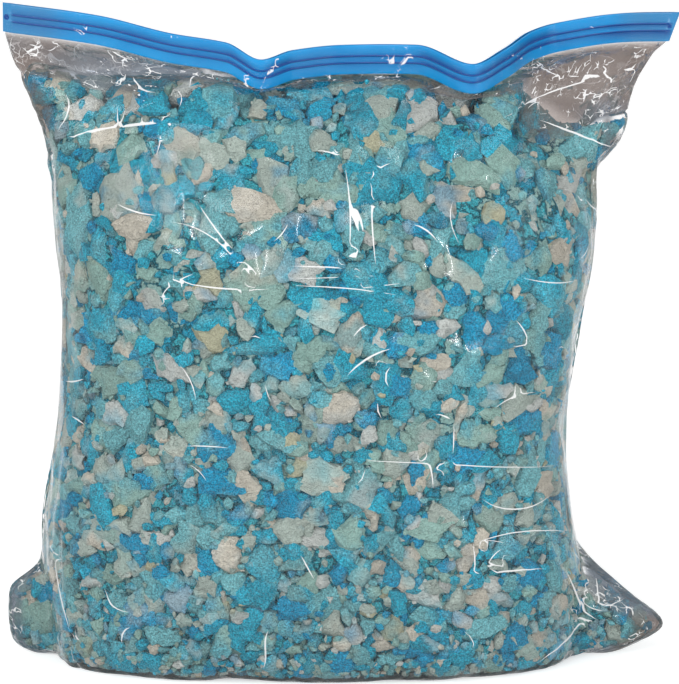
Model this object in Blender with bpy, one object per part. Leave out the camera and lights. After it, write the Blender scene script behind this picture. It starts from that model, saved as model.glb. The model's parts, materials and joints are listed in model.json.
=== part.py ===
"""A clear zip-top film bag, stuffed full of shredded memory foam and standing on its flattened base.

The bag is a pouch of thin film, folded along the base and welded up both sides. Below the zip it is stretched
round the foam into a fat body, and its four corners stand out as flat ears. The mouth is held shut by two
extruded strips whose ribs and channels snap together. X runs along the mouth, the front faces -Y and the bag
rests on z = 0.
"""

import math
import random

import bmesh
import bpy
from mathutils import Vector, noise

# Overall form
BAG_HEIGHT = 0.331  # base to the top of the mouth, at mid-width
MOUTH_WIDTH = 0.358  # between the mouth's two corners, straight across
BODY_WIDTH = 0.292  # across the stuffed body
BODY_DEPTH = 0.166  # front to back of the stuffed body
BODY_SHIFT = -0.010  # the body sits a little to the left of the mouth
BODY_SQUARENESS = 2.7  # exponent of the body's plan: 2 is an ellipse, more is boxier
MOUTH_SWAY = 0.028  # how far the mouth waves forwards and back
MOUTH_RISE = 0.021  # how far the mouth's corners stand above its middle

# Film
FILM_WALL = 0.0004
EAR_GAP = 0.0010  # between the two layers of film in an ear
SEAM_FIN = 0.0045  # welded edge that stands out beside the body
SEAM_WELD = 0.0016  # how much of that edge is melted into one
LEFT_EAR = 0.020  # how far the base ears stand out beside the fin
RIGHT_EAR = 0.044

# Zip
STRIP_HEIGHT = 0.0155
STRIP_WALL = 0.0004
STRIP_SHOWS = 0.0010  # the strips stand this much above the film's edge
TRACKS = 2
TRACK_DROP = 0.0058  # top edge to the first track
TRACK_PITCH = 0.0037
RIB_NECK = 0.0004
RIB_HEAD = 0.0010
RIB_NECK_LENGTH = 0.0009
RIB_HEAD_LENGTH = 0.0004
ZIP_CLEARANCE = 0.0002  # between a rib and its channel, all round
LIP_WALL = 0.00035
HOOK_LENGTH = 0.0003
TRACK_END = 0.0060  # a track stops this far short of the strip's end
CRUSH_SLOPE = 0.0010  # length over which a track is crushed
CRUSHED = 0.08  # share of a track's height left in the welded ends

# Foam
CHUNK_SIZE = 0.033  # across a large chunk
CHUNK_CUTS = 5  # knife or tear planes on each chunk
CUT_REACH = (0.26, 0.4)  # from a chunk's middle to those planes, in chunk sizes
ROW_SPREAD = 0.8  # share of the body's width that a row of large chunks takes up
ROW_ABOVE_BASE = 0.75  # the lowest row's middle above the base, in chunk sizes
ROW_BELOW_TOP = 1.4  # the highest row's middle below the foam's shoulders, in chunk sizes
CHUNK_REACH = 0.56  # how far a chunk can reach from its middle, in chunk sizes
FRONT_CHUNKS = (5, 5)  # columns and rows
BACK_CHUNKS = (4, 4)
HEADROOM = 0.106  # share of the height from the top of the mouth down to the shoulders of the packed foam
CROWN = 0.006  # the packed foam rises this much from its shoulders to a ridge under the zip
FILL_INSET = 0.0045  # the packed foam lies this far inside the film
LUMP_DEPTH = 0.0060  # hollows between the small chunks of the packed foam
LUMP_SIZE = 0.022
PIECE_GAP = 0.0004  # between pieces that touch

# Resolution
STATIONS = 34  # along the mouth, and half way round the body
FILL_STATIONS = 22
SEED = 11

# Outlines of the stuffed body as (share of the height, share of the half width or half depth)
LEFT_FORM = ((0.0, 0.93), (0.01, 0.965), (0.05, 0.985), (0.21, 1.005), (0.45, 0.92), (0.62, 0.92), (0.78, 0.96),
             (0.86, 0.95), (1.0, 0.95))
RIGHT_FORM = ((0.0, 0.86), (0.01, 0.885), (0.05, 0.92), (0.13, 0.935), (0.2, 0.89), (0.37, 0.86), (0.52, 0.91),
              (0.71, 0.97), (0.79, 0.94), (1.0, 0.93))
DEPTH_FORM = ((0.0, 0.72), (0.01, 0.83), (0.03, 0.9), (0.09, 0.97), (0.2, 1.0), (0.5, 1.0), (0.67, 0.95),
              (0.76, 0.86), (0.83, 0.69), (0.88, 0.49), (0.92, 0.24), (0.945, 0.07), (0.96, 0.0), (1.0, 0.0))
# How far the base ears have come out, as (share of the height, share of the ear)
LEFT_EAR_FORM = ((0.0, 0.0), (0.009, 0.9), (0.05, 1.0), (0.1, 0.95), (0.15, 0.05), (0.17, 0.0))
RIGHT_EAR_FORM = ((0.0, 0.0), (0.009, 0.25), (0.03, 0.8), (0.055, 1.0), (0.085, 0.8), (0.15, 0.12), (0.21, 0.0))
# How far the welded edge has gone from the body out to the mouth's corner
LEFT_FLARE = ((0.8, 0.0), (0.86, 0.12), (0.9, 0.72), (0.945, 0.93), (0.955, 1.0))
RIGHT_FLARE = ((0.78, 0.0), (0.82, 0.32), (0.9, 0.52), (0.94, 0.82), (0.955, 1.0))
# How much of the mouth's wave reaches down to a height
WAVE_FORM = ((0.8, 0.0), (0.86, 0.22), (0.905, 0.55), (0.955, 1.0))
# The mouth as (share of the half width, share of the sway, share of the rise)
MOUTH_FORM = ((-1.0, 0.2, 1.0), (-0.72, -0.05, 0.72), (-0.5, -0.5, 0.36), (-0.34, -0.8, 0.2), (-0.235, -0.95, -0.2),
              (-0.14, -0.55, -0.05), (0.0, -0.2, 0.0), (0.22, -0.4, 0.05), (0.385, -1.0, -0.3), (0.48, -0.4, -0.05),
              (0.56, 0.45, 0.2), (0.64, 0.8, 0.34), (0.75, 0.75, 0.52), (0.87, 0.45, 0.68), (1.0, 0.15, 0.76))
# Heights of the film's rings, as shares of the height
RING_HEIGHTS = (0.0, 0.009, 0.03, 0.055, 0.085, 0.115, 0.15, 0.2, 0.29, 0.4, 0.51, 0.62, 0.71, 0.78, 0.83, 0.87,
                0.905, 0.93)

FILM_COLOUR = (0.55, 0.58, 0.6, 1.0)
ZIP_COLOUR = (0.02, 0.26, 0.68, 1.0)
FOAM_MIX = (0.32, 0.55, 0.6, 1.0)
FOAM_SHADES = {
    "blue": (0.02, 0.3, 0.62, 1.0),
    "aqua": (0.09, 0.42, 0.52, 1.0),
    "pale_aqua": (0.23, 0.52, 0.55, 1.0),
    "mint": (0.38, 0.62, 0.48, 1.0),
    "cream": (0.62, 0.56, 0.5, 1.0),
}

FLAP_STATIONS = 2  # ring points on each welded edge, before the body begins


def curve(keys, at, column=1):
    """A smooth curve through keys, which never swings past them, read at a place on its first column."""
    xs = [k[0] for k in keys]
    ys = [k[column] for k in keys]
    if at <= xs[0]:
        return ys[0]
    if at >= xs[-1]:
        return ys[-1]
    slopes = [(ys[i + 1] - ys[i]) / (xs[i + 1] - xs[i]) for i in range(len(xs) - 1)]
    tangents = [slopes[0]]
    for a, b in zip(slopes, slopes[1:]):
        tangents.append(2 * a * b / (a + b) if a * b > 0 else 0.0)
    tangents.append(slopes[-1])
    i = max(j for j in range(len(xs) - 1) if xs[j] <= at)
    h = xs[i + 1] - xs[i]
    t = (at - xs[i]) / h
    return (ys[i] * (1 + 2 * t) * (1 - t) ** 2 + tangents[i] * h * t * (1 - t) ** 2
            + ys[i + 1] * t * t * (3 - 2 * t) + tangents[i + 1] * h * t * t * (t - 1))


def mouth_stations():
    """Points (x, y, z) of the mouth's top edge: its two corners, and even steps along it between them."""
    fine = []
    for i in range(801):
        s = -1 + i / 400
        fine.append(Vector((s * MOUTH_WIDTH / 2, curve(MOUTH_FORM, s) * MOUTH_SWAY,
                            BAG_HEIGHT + curve(MOUTH_FORM, s, 2) * MOUTH_RISE)))
    along = [0.0]
    for a, b in zip(fine, fine[1:]):
        along.append(along[-1] + (b - a).length)
    start = SEAM_FIN * 0.6
    places = [0.0]
    for i in range(STATIONS - 1):
        places.append(start + (along[-1] - 2 * start) * i / (STATIONS - 2))
    places.append(along[-1])
    points = []
    j = 0
    for place in places:
        while j < len(along) - 2 and along[j + 1] < place:
            j += 1
        share = (place - along[j]) / (along[j + 1] - along[j])
        points.append(fine[j].lerp(fine[j + 1], min(1.0, share)))
    return points


def between(points, place):
    """The point at a place along a list of points, counted in steps."""
    i = min(int(place), len(points) - 2)
    return points[i].lerp(points[i + 1], place - i)


def plan_normals(points):
    """The horizontal direction square to a path, towards the back, at each of its points."""
    normals = []
    for i in range(len(points)):
        a = points[max(0, i - 1)]
        b = points[min(len(points) - 1, i + 1)]
        normals.append(Vector((a.y - b.y, b.x - a.x, 0.0)).normalized())
    return normals


def ear_reach(side, share):
    """How far the welded edge stands out beside the body, at a share of the height."""
    form, reach = (LEFT_EAR_FORM, LEFT_EAR) if side < 0 else (RIGHT_EAR_FORM, RIGHT_EAR)
    return SEAM_FIN + reach * curve(form, share)


def body_at(share):
    """Middle, half width and half depth of the stuffed body at a share of the height."""
    left = BODY_SHIFT - BODY_WIDTH / 2 * curve(LEFT_FORM, share)
    right = BODY_SHIFT + BODY_WIDTH / 2 * curve(RIGHT_FORM, share)
    return (left + right) / 2, (right - left) / 2, BODY_DEPTH / 2 * curve(DEPTH_FORM, share)


def zip_half_gap():
    """From the mouth's middle plane to the film's inner face, where it passes outside the strips."""
    return zip_half_span() + STRIP_WALL + PIECE_GAP


def zip_half_span():
    """From the mouth's middle plane to the inner face of either strip."""
    return (RIB_NECK_LENGTH + RIB_HEAD_LENGTH + ZIP_CLEARANCE) / 2


def film_ring(share, inset, top=None, filled=0):
    """One ring of the pouch, from the left edge along the front to the right edge and back along the rear.

    inset is how far inside the film's outer face the ring lies. top is the depth below the mouth's top edge,
    for a ring that follows the mouth. filled is the number of steps across a ring of the packed foam, which
    stays between the welded edges.
    """
    mouth = mouth_stations()
    stations = filled or STATIONS
    flaps = not filled
    if filled:
        run = STATIONS - 2 * FLAP_STATIONS
        mouth = [between(mouth, FLAP_STATIONS + run * k / filled) for k in range(filled + 1)]
    middle, half_width, half_depth = body_at(share)
    at_mouth = 1.0 if top is not None else curve(WAVE_FORM, share)
    flap = (EAR_GAP / 2 + (zip_half_gap() - EAR_GAP / 2) * at_mouth + FILM_WALL) - inset
    half_width -= inset
    half_depth = max(half_depth - inset, 0.0)
    tip = SEAM_WELD if inset > 0 else 0.0
    edges = []
    for side, flare in ((-1, LEFT_FLARE), (1, RIGHT_FLARE)):
        out = 1.0 if top is not None else curve(flare, share)
        root = middle + side * half_width
        edge = root + side * (ear_reach(side, share) + inset)
        edges.append((root, edge + (side * MOUTH_WIDTH / 2 - edge) * out - side * tip))
    lower, upper = edges
    first = FLAP_STATIONS if flaps else 0
    last = stations - first
    centre = []
    depth = []
    for k in range(stations + 1):
        turn = min(max((k - first) / (last - first), 0.0), 1.0)
        across = -math.cos(math.pi * turn)
        x = middle + half_width * across
        if k < first:
            x = lower[1] + (lower[0] - lower[1]) * k / first
        if k > last:
            x = upper[1] + (upper[0] - upper[1]) * (stations - k) / first
        share_out = max(0.0, 1 - abs(across) ** BODY_SQUARENESS) ** (1 / BODY_SQUARENESS)
        thick = half_depth * share_out
        if flaps:
            thick = max(thick, flap)
            if k in (0, stations):
                thick = 0.0
        mouth_x = mouth[k].x
        if flaps and k in (0, stations):
            mouth_x -= math.copysign(tip, mouth_x)
        x += (mouth_x - x) * at_mouth
        centre.append(Vector((x, mouth[k].y * at_mouth, 0.0)))
        depth.append(thick)
    normals = plan_normals(centre)
    ring = []
    for k in range(stations + 1):
        if top is None:
            z = share * BAG_HEIGHT + (mouth[k].z - BAG_HEIGHT) * at_mouth
        else:
            z = mouth[k].z - top
        centre[k].z = z
    for k in range(stations + 1):
        ring.append(centre[k] - normals[k] * depth[k])
    for k in range(stations - 1, 0, -1):
        ring.append(centre[k] + normals[k] * depth[k])
    return ring


def loft(bm, rings, open_end=False):
    """Skin through rings of as many points each, with a face over the first ring and, unless open, the last."""
    loop = [bm.verts.new(p) for p in rings[0]]
    edges = [bm.edges.new((loop[i], loop[(i + 1) % len(loop)])) for i in range(len(loop))]
    first = edges
    for ring in rings[1:]:
        made = bmesh.ops.extrude_edge_only(bm, edges=edges)["geom"]
        fresh = {g for g in made if isinstance(g, bmesh.types.BMVert)}
        follow = []
        for vert, place in zip(loop, ring):
            twin = next(e.other_vert(vert) for e in vert.link_edges if e.other_vert(vert) in fresh)
            twin.co = place
            follow.append(twin)
        loop = follow
        edges = [bm.edges.get((loop[i], loop[(i + 1) % len(loop)])) for i in range(len(loop))]
    for end in (first,) if open_end else (first, edges):
        bmesh.ops.edgeloop_fill(bm, edges=end)
    return edges


def material(name, colour, roughness, alpha=1.0):
    made = bpy.data.materials.new(name)
    made.use_nodes = True
    shader = made.node_tree.nodes["Principled BSDF"]
    shader.inputs["Base Color"].default_value = colour
    shader.inputs["Roughness"].default_value = roughness
    shader.inputs["Metallic"].default_value = 0.0
    shader.inputs["Alpha"].default_value = alpha
    made.diffuse_color = (*colour[:3], alpha)
    return made


def add_object(name, bm, made_of, parent=None):
    bmesh.ops.recalc_face_normals(bm, faces=bm.faces)
    mesh = bpy.data.meshes.new(name)
    bm.to_mesh(mesh)
    bm.free()
    mesh.materials.append(made_of)
    thing = bpy.data.objects.new(name, mesh)
    bpy.context.scene.collection.objects.link(thing)
    thing.parent = parent
    return thing


def wall_step(vert, seam):
    """From a point of the film's outer skin to its inner face, as far behind every face that meets there."""
    pull = Vector((0.0, 0.0, 0.0))
    for _ in range(60):
        for face in vert.link_faces:
            pull -= face.normal * (FILM_WALL + pull.dot(face.normal)) * 0.5
    if seam:
        pull.x, pull.y = -math.copysign(SEAM_WELD, vert.co.x), 0.0
        pull.z = FILM_WALL if vert.co.z < FILM_WALL else 0.0
    return pull


def make_film(parent):
    """The pouch: an outer skin from the base up to the open mouth, and the same skin again a wall inside it."""
    bm = bmesh.new()
    rings = [film_ring(s, 0.0) for s in RING_HEIGHTS]
    rings += [film_ring(1.0, 0.0, top=STRIP_HEIGHT + PIECE_GAP), film_ring(1.0, 0.0, top=STRIP_SHOWS)]
    loft(bm, rings, open_end=True)
    seams = [ring[k] for ring in rings for k in (0, STATIONS)]
    bmesh.ops.triangulate(bm, faces=bm.faces)
    bmesh.ops.recalc_face_normals(bm, faces=bm.faces)
    outside = bm.verts[:]
    steps = {v: wall_step(v, min((v.co - p).length for p in seams) < 1e-6) for v in outside}
    made = bmesh.ops.duplicate(bm, geom=bm.verts[:] + bm.edges[:] + bm.faces[:])
    for v in outside:
        made["vert_map"][v].co = v.co + steps[v]
    bmesh.ops.reverse_faces(bm, faces=[g for g in made["geom"] if isinstance(g, bmesh.types.BMFace)])
    bmesh.ops.bridge_loops(bm, edges=[e for e in bm.edges if e.is_boundary])
    return add_object("film_bag", bm, material("clear_film", FILM_COLOUR, 0.12, 0.35), parent)


def track_heights():
    return [TRACK_DROP + i * TRACK_PITCH for i in range(TRACKS)]


def rib_profile(height):
    """A rib with a mushroom head, as (reach from the flange, below the top edge), from its upper side down."""
    tip = RIB_NECK_LENGTH + RIB_HEAD_LENGTH
    half = ((0.0, RIB_NECK / 2), (RIB_NECK_LENGTH, RIB_NECK / 2), (RIB_NECK_LENGTH, RIB_HEAD / 2),
            (tip, RIB_NECK / 2))
    return [(n, height - h) for n, h in half] + [(n, height + h) for n, h in reversed(half)]


def channel_profile(height):
    """Two hooked lips that close behind a rib's head, as (reach from the flange, below the top edge)."""
    inside = RIB_HEAD / 2 + ZIP_CLEARANCE
    mouth = RIB_NECK / 2 + ZIP_CLEARANCE
    hook = RIB_HEAD_LENGTH + 2 * ZIP_CLEARANCE
    lip = ((0.0, inside + LIP_WALL), (hook + HOOK_LENGTH, inside + LIP_WALL), (hook + HOOK_LENGTH, inside),
           (hook, mouth), (hook, inside), (0.0, inside))
    return [(n, height - h) for n, h in lip] + [(n, height + h) for n, h in reversed(lip)]


def make_strip(name, side, track, parent):
    """A zip strip: a flat flange with the tracks on its inner face, crushed flat by the weld at both ends."""
    mouth = mouth_stations()
    normals = plan_normals([Vector((p.x, p.y, 0.0)) for p in mouth])
    run = list(zip(mouth, normals, [1.0] * len(mouth)))[1:-1]
    step = (run[1][0] - run[0][0]).length
    for end, other in ((0, 1), (-1, -2)):
        tip, beside = run[end], run[other]
        inner = TRACK_END / step
        outer = (TRACK_END - CRUSH_SLOPE) / step
        added = [(tip[0].lerp(beside[0], share), tip[1].lerp(beside[1], share), full)
                 for share, full in ((0.0, CRUSHED), (outer, CRUSHED), (inner, 1.0))]
        run = added + run[1:] if end == 0 else run[:-1] + added[::-1]
    face = side * zip_half_span()
    sections = []
    for point, normal, full in run:
        profile = [(face, 0.0)]
        for height in track_heights():
            profile += [(face - side * n * full, h) for n, h in track(height)]
        profile += [(face, STRIP_HEIGHT), (face + side * STRIP_WALL, STRIP_HEIGHT), (face + side * STRIP_WALL, 0.0)]
        sections.append([point + normal * n - Vector((0.0, 0.0, h)) for n, h in profile])
    bm = bmesh.new()
    loft(bm, sections)
    return add_object(name, bm, material(name, ZIP_COLOUR, 0.3), parent)


def film_inside(x, z, side, inset):
    """The film's inner face as a y value at x and z, drawn in by inset. It runs straight from ring to ring."""
    share = z / BAG_HEIGHT
    above = next(s for s in RING_HEIGHTS if s > share)
    below = max(s for s in RING_HEIGHTS if s <= share)
    up = (share - below) / (above - below)
    middle, half_width, half_depth = (a + (b - a) * up for a, b in zip(body_at(below), body_at(above)))
    across = min(abs(x - middle) / (half_width - inset), 1.0)
    return side * (half_depth - inset) * (1 - across ** BODY_SQUARENESS) ** (1 / BODY_SQUARENESS)


def outside_film(point, side, inset):
    return side * point.y > side * film_inside(point.x, point.z, side, inset)


def fill_line():
    return BAG_HEIGHT * (1 - HEADROOM)


def chunk_places():
    """Side, centre and size of the large chunks, in staggered rows behind the front film and the back.

    They stay below the height where the film begins to follow the waves of the mouth.
    """
    draw = random.Random(SEED)
    places = []
    for side, (columns, rows) in ((-1, FRONT_CHUNKS), (1, BACK_CHUNKS)):
        low = FILM_WALL + CHUNK_SIZE * ROW_ABOVE_BASE
        straight = BAG_HEIGHT * WAVE_FORM[0][0] - CHUNK_SIZE * CHUNK_REACH
        high = min(fill_line() - CHUNK_SIZE * ROW_BELOW_TOP, straight)
        drop = (high - low) / (rows - 1)
        for row in range(rows):
            z = low + drop * row
            middle, half_width, _ = body_at(z / BAG_HEIGHT)
            pitch = half_width * 2 * ROW_SPREAD / columns
            stagger = pitch * (0.12 if row % 2 else -0.12)
            for column in range(columns):
                size = CHUNK_SIZE * draw.uniform(0.7, 1.0)
                loose_x = max(pitch / 2 - size * CHUNK_REACH, 0.0)
                loose_z = max(drop / 2 - size * CHUNK_REACH, 0.0)
                x = middle + stagger + pitch * (column - (columns - 1) / 2) + draw.uniform(-loose_x, loose_x)
                up = min(max(z + draw.uniform(-loose_z, loose_z), low), high)
                places.append((side, x, up, size))
    return places


def make_chunk(bm, place, draw, grow=0.0):
    """A torn chunk: a rough ball cut by flat planes, and pressed flat where it meets the film."""
    side, x, z, size = place
    wide, deep, tall = (draw.uniform(0.78, 1.0) for _ in range(3))
    ball = bmesh.ops.create_icosphere(bm, subdivisions=1, radius=0.52)["verts"]
    face_y = film_inside(x, z, side, FILM_WALL + PIECE_GAP)
    centre = Vector((x, face_y - side * size * deep * 0.3, z))
    for vert in ball:
        rough = draw.uniform(0.86, 1.08)
        vert.co = Vector((vert.co.x * wide, vert.co.y * deep, vert.co.z * tall)) * size * rough
    for i in range(CHUNK_CUTS):
        angle = 2 * math.pi * (i + draw.uniform(0.0, 0.8)) / CHUNK_CUTS
        lean = draw.uniform(-0.6, 0.6)
        normal = Vector((math.cos(angle), lean, math.sin(angle))).normalized()
        cut = bmesh.ops.bisect_plane(bm, geom=bm.verts[:] + bm.edges[:] + bm.faces[:], dist=1e-6,
                                     plane_co=normal * size * draw.uniform(*CUT_REACH), plane_no=normal,
                                     clear_outer=True)
        rim = [g for g in cut["geom_cut"] if isinstance(g, bmesh.types.BMEdge)]
        if rim:
            bmesh.ops.contextual_create(bm, geom=rim)
    bmesh.ops.remove_doubles(bm, verts=bm.verts, dist=size * 0.1)
    bmesh.ops.delete(bm, geom=bm.edges[:], context="EDGES_FACES")
    hull = bmesh.ops.convex_hull(bm, input=bm.verts)
    inside = [g for g in hull["geom_interior"] if isinstance(g, bmesh.types.BMVert)]
    bmesh.ops.delete(bm, geom=inside, context="VERTS")
    for vert in bm.verts:
        reach = vert.co * (1 + 2 * grow / size)
        share = 1.0
        while outside_film(centre + reach * share, side, FILM_WALL + 2.5 * PIECE_GAP - grow):
            share -= 0.02
        vert.co = centre + reach * share


def hollowed(ring):
    """A ring of the packed foam, drawn in where it falls between two of the small chunks."""
    low, high = min(p.x for p in ring), max(p.x for p in ring)
    sides = []
    for k, point in enumerate(ring):
        spine = (point + ring[-k]) / 2
        spine.x = min(max(spine.x, low * 0.75 + high * 0.25), low * 0.25 + high * 0.75)
        near, _ = noise.voronoi(point / LUMP_SIZE)
        inwards = spine - point
        depth = min(LUMP_DEPTH, inwards.length * 0.5) * min(1.0, near[0] / 0.7)
        sides.append(point + inwards.normalized() * depth)
    return sides


def make_foam(parent):
    """The packed foam with a seat for each large chunk, and the chunks themselves."""
    places = chunk_places()
    shades = list(FOAM_SHADES)
    seats = bmesh.new()
    for i, place in enumerate(places):
        bm = bmesh.new()
        make_chunk(bm, place, random.Random(SEED + i))
        shade = shades[(i * 3 + i // 5) % len(shades)]
        add_object(f"foam_chunk_{i + 1:02d}", bm, material(f"foam_{shade}_{i + 1:02d}", FOAM_SHADES[shade], 0.9),
                   parent)
        seat = bmesh.new()
        make_chunk(seat, place, random.Random(SEED + i), grow=PIECE_GAP)
        one = bpy.data.meshes.new("seat")
        seat.to_mesh(one)
        seat.free()
        seats.from_mesh(one)
        bpy.data.meshes.remove(one)
    mix = material("foam_mix", FOAM_MIX, 0.95)
    cutter = add_object("chunk_seats", seats, mix, parent)
    cutter.hide_render = True
    cutter.display_type = "WIRE"

    bm = bmesh.new()
    inset = FILM_WALL + FILL_INSET
    top = fill_line() / BAG_HEIGHT
    shares = [0.0, 0.02, 0.06, 0.12, 0.2, 0.29, 0.38, 0.47, 0.56, 0.65, 0.73, 0.79]
    shares += [s for s in RING_HEIGHTS if 0.8 < s < top] + [top]
    rings = [hollowed(film_ring(s, inset, filled=FILL_STATIONS)) for s in shares]
    for p in rings[0]:
        p.z = FILM_WALL + PIECE_GAP
    shoulder = rings[-1]
    rings.append([(p + shoulder[-k]) / 2 + Vector((0.0, 0.0, CROWN)) for k, p in enumerate(shoulder)])
    loft(bm, rings, open_end=True)
    bmesh.ops.remove_doubles(bm, verts=bm.verts, dist=1e-6)
    fill = add_object("foam_fill", bm, mix, parent)
    seat_cut = fill.modifiers.new("seats", "BOOLEAN")
    seat_cut.operation = "DIFFERENCE"
    seat_cut.solver = "EXACT"
    seat_cut.object = cutter
    return fill


def main():
    for thing in list(bpy.data.objects):
        bpy.data.objects.remove(thing)
    bag = bpy.data.objects.new("bag", None)
    bpy.context.scene.collection.objects.link(bag)
    make_film(bag)
    make_strip("zip_strip_front", -1, rib_profile, bag)
    make_strip("zip_strip_back", 1, channel_profile, bag)
    make_foam(bag)


main()
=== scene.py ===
# %% [markdown]
# # A clear zip bag, stuffed with shredded foam
#
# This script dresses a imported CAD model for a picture. The real object is a big pouch of thin clear film
# with a blue press zip along its mouth. It is crammed with torn bits of foam in blues, greens and cream.
#
# The steps: the outline of the stuffed bag, the film that is stretched round it, the foam inside, the zip,
# then materials, lights and camera. Everything is in metres, with the front of the bag facing -Y.

# %% Load the CAD frame
import bpy
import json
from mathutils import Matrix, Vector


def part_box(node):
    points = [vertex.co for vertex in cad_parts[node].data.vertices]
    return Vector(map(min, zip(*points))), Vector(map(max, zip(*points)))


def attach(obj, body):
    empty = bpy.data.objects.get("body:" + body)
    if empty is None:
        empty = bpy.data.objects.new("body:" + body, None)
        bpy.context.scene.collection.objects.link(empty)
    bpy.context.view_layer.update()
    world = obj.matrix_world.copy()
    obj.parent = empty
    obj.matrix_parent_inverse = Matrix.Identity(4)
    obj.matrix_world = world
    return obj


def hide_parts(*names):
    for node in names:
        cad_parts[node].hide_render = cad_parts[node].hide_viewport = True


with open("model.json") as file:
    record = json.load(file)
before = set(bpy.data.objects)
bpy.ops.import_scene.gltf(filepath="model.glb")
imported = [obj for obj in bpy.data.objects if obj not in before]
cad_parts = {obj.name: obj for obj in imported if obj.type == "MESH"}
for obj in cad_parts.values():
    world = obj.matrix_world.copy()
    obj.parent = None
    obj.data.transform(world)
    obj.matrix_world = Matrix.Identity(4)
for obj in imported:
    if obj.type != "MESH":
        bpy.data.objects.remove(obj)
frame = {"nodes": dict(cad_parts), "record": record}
bpy.context.view_layer.update()

# %% The tools of the rest of the script
import itertools
import json
import math

import bmesh
import numpy as np
from mathutils import Vector
from mathutils.bvhtree import BVHTree
from mathutils.kdtree import KDTree

scene = bpy.context.scene
rng = np.random.default_rng(7)
print("nodes in the frame", len(frame["nodes"]))

# %% Helpers for pieces and their points
def piece_from(bm, name):
    """An object with the mesh that a bmesh has made."""
    mesh = bpy.data.meshes.new(name)
    bm.to_mesh(mesh)
    bm.free()
    piece = bpy.data.objects.new(name, mesh)
    scene.collection.objects.link(piece)
    return piece


def positions(piece):
    at = np.zeros(len(piece.data.vertices) * 3)
    piece.data.vertices.foreach_get("co", at)
    return at.reshape(-1, 3)


def normals(piece):
    out = np.zeros(len(piece.data.vertices) * 3, np.float32)
    piece.data.vertex_normals.foreach_get("vector", out)
    return out.reshape(-1, 3)


def move_to(piece, at):
    piece.data.vertices.foreach_set("co", at.ravel())
    piece.data.update()


def skin_of(piece):
    """A search tree of a piece's surface, for rays and for the nearest point."""
    return BVHTree.FromObject(piece, bpy.context.evaluated_depsgraph_get())


def smooth_faces(mesh, sharp=None):
    """Smooth shading, with edges sharper than so many degrees left hard."""
    for face in mesh.polygons:
        face.use_smooth = True
    if sharp:
        mesh.set_sharp_from_angle(angle=math.radians(sharp))


# %% [markdown]
# ## The outline of the stuffed bag
#
# A stuffed bag is fat in the middle, flat at its mouth, and wider on one side than on the other. It could
# be sculpted by hand, but then nothing would say how wide it is. So it is drawn the way a pattern cutter
# would: a few heights with a width to the left, a width to the right and a depth at each. A smooth curve
# joins them, one that never swings past its points. The CAD model was built from the same outlines, so film
# and foam land where the frame says.

# %% Smooth curves through a few points
BAG_HEIGHT = 0.331  # base to the top of the mouth, at mid-width
MOUTH_WIDTH = 0.358
BODY_WIDTH, BODY_DEPTH, BODY_SHIFT = 0.292, 0.166, -0.010
MOUTH_SWAY, MOUTH_RISE = 0.028, 0.021


def smooth_through(keys, column=1):
    """A function that runs smoothly through keys, flat at every high and low point."""
    xs = np.array([k[0] for k in keys])
    ys = np.array([k[column] for k in keys])
    slopes = np.diff(ys) / np.diff(xs)
    tangents = np.concatenate([slopes[:1], np.zeros(len(xs) - 2), slopes[-1:]])
    a, b = slopes[:-1], slopes[1:]
    same = a * b > 0
    tangents[1:-1][same] = 2 * a[same] * b[same] / (a[same] + b[same])
    fine = np.linspace(xs[0], xs[-1], 2001)
    i = np.clip(np.searchsorted(xs, fine, side="right") - 1, 0, len(xs) - 2)
    h = xs[i + 1] - xs[i]
    t = (fine - xs[i]) / h
    curve = (ys[i] * (1 + 2 * t) * (1 - t) ** 2 + tangents[i] * h * t * (1 - t) ** 2
             + ys[i + 1] * t * t * (3 - 2 * t) + tangents[i + 1] * h * t * t * (t - 1))
    return lambda at: np.interp(at, fine, curve)


left_form = smooth_through((
    (0.0, 0.93), (0.01, 0.965), (0.05, 0.985), (0.21, 1.005), (0.45, 0.92), (0.62, 0.92), (0.78, 0.96),
    (0.86, 0.95), (1.0, 0.95)))
right_form = smooth_through((
    (0.0, 0.86), (0.01, 0.885), (0.05, 0.92), (0.13, 0.935), (0.2, 0.89), (0.37, 0.86), (0.52, 0.91),
    (0.71, 0.97), (0.79, 0.94), (1.0, 0.93)))
depth_form = smooth_through((
    (0.0, 0.72), (0.01, 0.83), (0.03, 0.9), (0.09, 0.97), (0.2, 1.0), (0.5, 1.0), (0.67, 0.95), (0.76, 0.86),
    (0.83, 0.69), (0.88, 0.49), (0.92, 0.24), (0.945, 0.07), (0.96, 0.0), (1.0, 0.0)))
print("half depth at half height", BODY_DEPTH / 2 * float(depth_form(0.5)))

# %% The welded edges: base ears, and the flare up to the corners of the mouth
SEAM_FIN = 0.0045
LEFT_EAR, RIGHT_EAR = 0.021, 0.046
left_ear = smooth_through((
    (0.0, 0.55), (0.02, 1.0), (0.06, 1.0), (0.11, 0.9), (0.15, 0.12), (0.18, 0.0), (1.0, 0.0)))
right_ear = smooth_through((
    (0.0, 0.5), (0.02, 0.8), (0.045, 1.0), (0.065, 0.92), (0.085, 0.72), (0.12, 0.4), (0.16, 0.12),
    (0.21, 0.0), (1.0, 0.0)))
left_flare = smooth_through((
    (0.0, 0.0), (0.8, 0.0), (0.86, 0.14), (0.9, 0.72), (0.93, 0.9), (0.955, 1.0), (1.0, 1.0)))
right_flare = smooth_through((
    (0.0, 0.0), (0.78, 0.0), (0.815, 0.34), (0.84, 0.46), (0.9, 0.56), (0.94, 0.82), (0.955, 1.0),
    (1.0, 1.0)))
wave_form = smooth_through(((0.0, 0.0), (0.8, 0.0), (0.86, 0.22), (0.905, 0.55), (0.955, 1.0), (1.0, 1.0)))

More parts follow.
